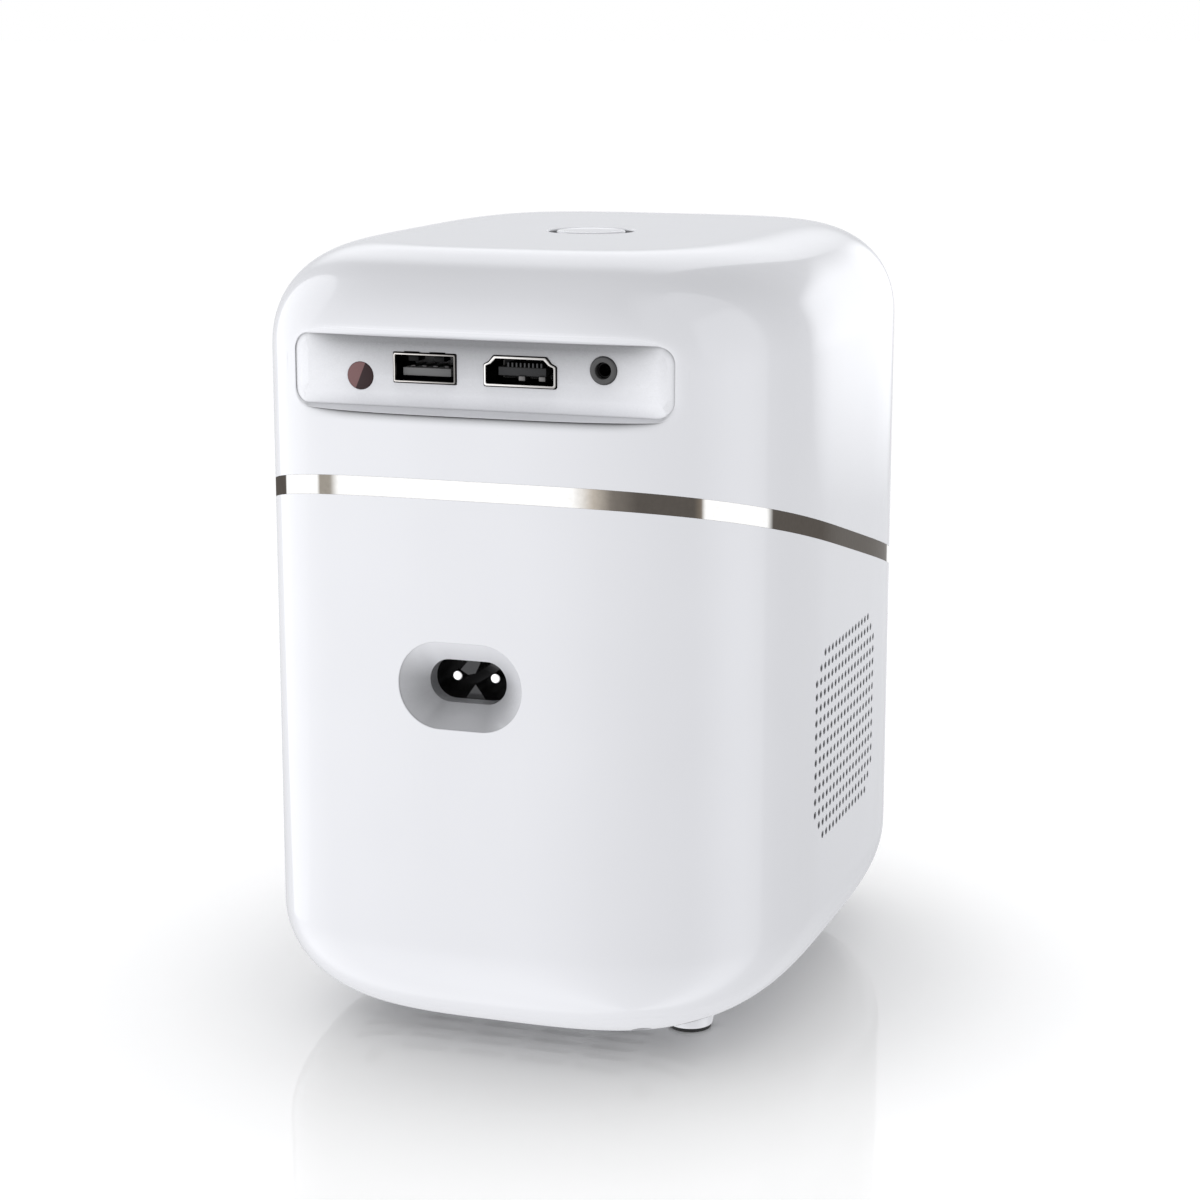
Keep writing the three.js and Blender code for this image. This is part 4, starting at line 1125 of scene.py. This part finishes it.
def make_inlet():
    x, z = INLET["x"], INLET["z"]
    hollow = prism("hollow", stadium(INLET_MOUTH[0] - 0.1, INLET_MOUTH[1] - 0.1, x, z), "y", -80, INLET["floor_y"])
    ribs = [prism("rib", [(x + u, z + v) for u, v in rib], "y", INLET["ridge_y"], INLET["floor_y"] + 1)
            for rib in (INLET_RIDGE, INLET_CREST)]
    body = prism("inlet", outline_points(oblong(x - 11, z - 7, x + 11, z + 7), 3), "y", INLET["seat_y"] + 0.02, -52.0)
    body = cut(body, cut(hollow, *ribs))
    r = PIN["radius"]
    profile = [(0, PIN["tip_y"]), (r, PIN["tip_y"], 0.3), (r, PIN["tail_y"]), (0, PIN["tail_y"])]
    pins = {"left": x - PIN["spacing"] / 2, "right": x + PIN["spacing"] / 2}
    for pin_x in pins.values():
        body = cut(body, prism("tool", circle(r + 0.1, pin_x, z), "y", -60, -50))
    seated(body, "inlet_body", BLACK_GLOSS, "inlet_socket")
    for name, pin_x in pins.items():
        pin = lathe("pin", profile, "y", (pin_x, 0, z), segments=40)
        seated(pin, f"mains_pin_{name}", NICKEL, f"inlet_pin_{name}")


# Power button

def make_button():
    """A lightly dished cap over a skirt that keeps it in."""
    top = TOP_Z + BUTTON["rise"]
    r = BUTTON["radius"]
    skirt = TOP_Z - WALL - 0.4
    profile = [(0, skirt - 1.6), (BUTTON["skirt"], skirt - 1.6), (BUTTON["skirt"], skirt), (r, skirt)]
    profile += [(r - 0.7 * out, top - 0.5 * left) for out, left in rounding(12)]
    profile += [(max(r - inwards, 0.0), top - fall) for inwards, fall in BUTTON_DISH]
    cap = lathe("cap", profile, "z", (0, BUTTON["y"], 0), segments=128)
    seated(cap, "button_cap", WHITE, "power_button", on="button")


# Lens

def make_lens():
    centre = (0, 0, LENS_Z)
    front = node_box("lens_bezel")[1].y
    bezel = [(24.4, 70.0), (25.7, 70.0), (25.7, HALF_DEPTH), (28.0, HALF_DEPTH), (28.0, front, 0.7),
             (24.4, front, 0.5)]
    seated(lathe("bezel", bezel, "y", centre, segments=160, steps=6), "bezel_ring", CHROME, "lens_bezel")
    front = node_box("focus_ring")[1].y
    ring = [(21.0, 56.0), (22.6, 56.0), (22.6, 70.6), (23.1, 70.6), (23.1, front, 0.5), (22.0, front, 0.3),
            (18.95, 75.0, 0.4), (18.95, 71.6), (21.0, 71.6)]
    body = lathe("ring", ring, "y", centre, segments=160)
    rib = eased(block("rib", (-0.55, 71.2, 22.9), (0.55, front - 0.5, 23.75)), 0.22)
    ribs = moved(run_tree(rib, IN_RING, Count=48, Material=DARK_PLASTIC), z=LENS_Z)
    seated(joined("ring", [body, ribs]), "grip_ring", DARK_PLASTIC, "focus_ring", on="focus_ring")
    back, front = (corner.y for corner in node_box("lens_cell"))
    cell = [(16.6, back), (18.5, back), (18.5, front, 0.3), (15.2, front, 0.3), (15.2, front - 0.5, 0.1),
            (16.6, front - 1.6)]
    seated(lathe("cell", cell, "y", centre, segments=128), "cell_ring", BLACK_MATT, "lens_cell", on="lens_carriage")
    for name, node, profile_of in (("front_glass", "lens_front", bulging), ("rear_glass", "lens_rear", drawn_in)):
        back, front = (corner.y for corner in node_box(node))
        shares = [k / GLASS_STEPS for k in range(GLASS_STEPS + 1)]
        faces = [profile_of(back, front, share * share) for share in shares]
        profile = [(GLASS_RADIUS * share, face[0]) for share, face in zip(shares, faces)]
        profile += [(GLASS_RADIUS * share, face[1]) for share, face in zip(shares[::-1], faces[::-1])]
        seated(lathe("glass", profile, "y", centre, segments=96), name, GLASS, node, on="lens_carriage", angle=40)


def bulging(back, front, fall):
    """Back and front of an element that bulges both ways, by the share of its fall towards the rim."""
    middle = (back + front) / 2
    return back + (middle - 0.9 - back) * fall, front - (front - middle - 0.9) * fall


def drawn_in(back, front, fall):
    """Back and front of an element whose two faces curve the same way."""
    return back + (front - back) * 0.42 * (1 - fall), front - (front - back) * 0.25 * (1 - fall)


# Frame nodes that keep their own shape

NODES_KEPT = {
    BLACK_GLOSS: "ir_receiver lcd_panel mains_capacitor",
    BLACK_MATT: "button_switch lens_barrel engine_housing fan_frame speaker_basket",
    DARK_PLASTIC: "switch_plunger fan_rotor carrier transformer speaker_magnet",
    BOARD: "port_board button_board main_board power_board",
    GLASS: "fresnel_front fresnel_rear condenser_lens",
    ALUMINIUM: "led_module heat_sink",
    PAPER: "speaker_cone",
}


def dress_nodes():
    for material, names in NODES_KEPT.items():
        for name in names.split():
            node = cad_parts[name]
            node.data.materials.clear()
            node.data.materials.append(material)


# Camera, light and floor

CAMERA_TARGET = Vector((1.093, 0.0, 87.141)) * MM
CAMERA_YAW = math.radians(18.943)
CAMERA_PITCH = math.radians(11.928)
CAMERA_DISTANCE = 652.234 * MM
CAMERA_LENS = 83.91


def make_camera():
    """Looks down on the rear right corner, as the photograph does."""
    lens = bpy.data.cameras.new("camera")
    lens.lens = CAMERA_LENS
    lens.sensor_width = 36.0
    lens.clip_start = 0.01
    lens.clip_end = 100.0
    camera = bpy.data.objects.new("camera", lens)
    bpy.context.scene.collection.objects.link(camera)
    ahead = Vector((-math.sin(CAMERA_YAW) * math.cos(CAMERA_PITCH),
                    math.cos(CAMERA_YAW) * math.cos(CAMERA_PITCH), -math.sin(CAMERA_PITCH)))
    camera.location = CAMERA_TARGET - ahead * CAMERA_DISTANCE
    camera.rotation_euler = (RIGHT_ANGLE - CAMERA_PITCH, 0.0, CAMERA_YAW)
    bpy.context.scene.camera = camera


DARK_CARD = (0.1, 0.089, 0.08)
GREY_CARD = (0.36, 0.33, 0.29)
# What the floor's rim shows in the chrome, by compass bearing: white board with dark cards between
CARDS = [
    (-180, 1.0), (-152, 1.0), (-148, DARK_CARD), (-112.5, DARK_CARD), (-110.5, 1.1), (-68, 1.1), (-67, GREY_CARD),
    (-58, GREY_CARD), (-52.5, 1.1), (-9, 1.1), (-2, (0.55, 0.5, 0.44)), (6, (0.2, 0.18, 0.16)), (20, DARK_CARD),
    (60, DARK_CARD), (66, (0.2, 0.17, 0.14)), (69.5, 1.1), (123, 1.1), (128, DARK_CARD), (160, DARK_CARD),
    (176, (0.22, 0.21, 0.2)), (180, (0.3, 0.29, 0.28)),
]
# Diffuse level by height: from straight down to straight up, as (sine + 1) / 2
WALL_LEVELS = [(0.0, 1.18), (0.4, 1.12), (0.5, 1.02), (0.575, 0.98), (0.675, 0.925), (0.8, 0.84), (1.0, 0.72)]
# The same for light that has met two surfaces before, as between the case and the floor
UNDER_LEVELS = [(0.0, 0.12), (0.35, 0.3), (0.5, 0.85), (1.0, 0.85)]
# How much brighter the light gets along x and y, about its open level
KEY = (-0.3, 0.1)
OPEN_LEVEL = 1.08
# More bounces than this have lit what stands over the floor
FEW_BOUNCES = 2.5
# Half the height, in degrees, over which the floor's rim gives way to the boards in the chrome
HORIZON = 1.5
BOARD_TONE = (0.975, 0.985, 1.02)
# Boards that soft gloss shows: (compass bearing, level), and how they fade with height in degrees
BOARDS = [(-180, 0.8), (-150, 0.82), (-135, 0.8), (-120, 0.8), (-105, 1.3), (-60, 1.25), (-45, 1.5), (-28, 1.65),
          (-15, 1.2), (0, 0.85), (30, 0.8), (60, 0.9), (76, 1.3), (90, 1.65), (106, 1.65), (120.5, 1.25),
          (123.5, 0.8), (136, 0.7), (155, 0.7), (165, 0.8), (180, 0.8)]
BOARD_HEIGHTS = [(-90, 0.8), (-33, 1.0), (-27, 0.94), (-19, 0.88), (-12, 1.04), (0, 0.95), (12, 0.88), (30, 0.72),
                 (50, 0.3), (62, 0.06), (90, 0.0)]
# Softboxes: bearing and height of the middle, half width and half height, softness, level, squareness of the corners
SOFT_BOXES = [(-163, 31, 25, 26, 0.4, 1.18, 4.0), (-102, 11, 28, 32.3, 0.045, 1.43, 2.5),
              (92, 20, 30, 26, 0.25, 1.45, 4.0), (92, 42, 30, 33, 0.05, 0.9, 4.0), (60, 45, 40, 33, 0.4, 0.75, 4.0),
              (169, 3, 17, 13, 0.36, 1.6, 4.0), (-191, 3, 17, 13, 0.36, 1.6, 4.0)]
# The floor is whiter than white card, as on an overexposed studio table, with painted shade darker on the left,
# rising from 100 mm left to right, and a painted shadow close to the case: (distance in units of 200 mm, share)
FLOOR_WHITE_AND_SIDE_SHADE = [(0.0, 1.05), (1.0, 1.17)]
FLOOR_PAINTED_SHADOW = [(0.3, 0.87), (0.425, 0.92), (0.5, 0.98), (0.575, 1.04), (0.7, 1.1)]
FLOOR_RADIUS = 20.0
FLOOR_GLOSS = 0.12
FLOOR_ROUGHNESS = 0.035
FLOOR_LIFT = 0.03


def softbox(bearing, height, middle, rise, half_width, half_height, softness, level, power):
    """The level of a softbox with rounded corners, and nothing outside it."""
    across = abs(bearing * (1 / half_width) - middle / half_width)
    upward = abs(height * (1 / half_height) - rise / half_height)
    away = (across ** power + upward ** power) ** (1 / power)
    return faded(away, 1 - softness, 1 + softness, level, 0.0)


def ramp_over(value, low, high, stops):
    """A colour ramp whose stops lie between two numbers."""
    spread = high - low
    return ramp(value * (1 / spread) - low / spread, [((place - low) / spread, colour) for place, colour in stops])


def make_world():
    """A soft studio: pale walls, dimmer overhead, brighter from the left; white where the camera looks."""
    world = bpy.data.worlds.new("studio")
    bpy.context.scene.world = world
    world.use_nodes = True
    tree = world.node_tree
    tree.nodes.clear()
    x, y, z = axes(add(tree, "ShaderNodeTexCoord").out("Generated"))
    bearing = maths(tree, "ARCTAN2", x, y * -1.0) * math.degrees(1.0)
    height = maths(tree, "ARCSINE", z) * math.degrees(1.0)
    path = add(tree, "ShaderNodeLightPath")

    level = z * 0.5 + 0.5
    diffuse = ramp(level, WALL_LEVELS) * (x * KEY[0] + y * KEY[1] + OPEN_LEVEL)
    # The floor is bright all round, but not where the case stands over it
    deeper = path.out("Ray Depth") > FEW_BOUNCES
    diffuse = diffuse * mixed(tree, deeper, 1.0, ramp(level, UNDER_LEVELS))

    soft = ramp_over(bearing, -180, 180, BOARDS) * ramp_over(height, -90, 90, BOARD_HEIGHTS)
    for box in SOFT_BOXES:
        soft = soft.most(softbox(bearing, height, *box))
    soft = tinted(BOARD_TONE, soft)
    cards = ramp_over(bearing, -180, 180, CARDS)
    mirror = mixed(tree, faded(height, -HORIZON, HORIZON, 1.0, 0.0), soft, cards)

    seen = mixed(tree, path.out("Is Glossy Ray"), diffuse, mixed(tree, path.out("Is Singular Ray"), soft, mirror))
    background = add(tree, "ShaderNodeBackground", Color=mixed(tree, path.out("Is Camera Ray"), seen, 1.0))
    fill(tree, tree.nodes.new("ShaderNodeOutputWorld"), Surface=background)


def make_floor():
    """White paper with a faint gloss, out of the object's own reflections, with painted shade and a painted shadow.
    """
    floor = new_object("studio_floor", [(x, y, 0.0) for x, y in circle(FLOOR_RADIUS, count=96)], [list(range(96))])
    material, tree, surface = new_material("studio_floor")
    tree.nodes.remove(surface)
    x, y, _ = axes(object_place(tree))
    away = vectors("LENGTH", combined_axes(tree, X=x * 1.15, Y=y))
    # Painted shade darker on the left, and a painted shadow round the case, in the paper's colour
    paper = add(tree, "ShaderNodeBsdfDiffuse", Color=ramp(x * 5.0 + 0.5, FLOOR_WHITE_AND_SIDE_SHADE) * ramp(away * 5.0, FLOOR_PAINTED_SHADOW))
    gloss = add(tree, "ShaderNodeBsdfGlossy", Roughness=FLOOR_ROUGHNESS, Color=1.0)
    lift = add(tree, "ShaderNodeEmission",
               Strength=add(tree, "ShaderNodeLightPath").out("Is Camera Ray") * FLOOR_LIFT)
    whole = add(tree, "ShaderNodeAddShader", _1=lift,
                _0=add(tree, "ShaderNodeMixShader", _0=FLOOR_GLOSS, _1=paper, _2=gloss))
    fill(tree, tree.nodes["Material Output"], Surface=whole)
    floor.data.materials.append(material)
    floor.visible_glossy = False
    floor.visible_diffuse = False


make_camera()
make_world()
make_floor()
make_housings()
make_feet()
make_socket(TYPE_A, "type_a", (TYPE_A_STEEL, CONTACT_GREY, SHADED_STEEL, DARK_STEEL), "usb_shell", "usb_tongue")
make_socket(DISPLAY, "display_socket", (DISPLAY_STEEL, BLACK_MATT, BLACK_GLOSS, SHADED_STEEL), "hdmi_shell",
            "hdmi_tongue")
make_jack_and_window()
make_inlet()
make_button()
make_lens()
dress_nodes()

bpy.context.scene.view_settings.view_transform = "Standard"
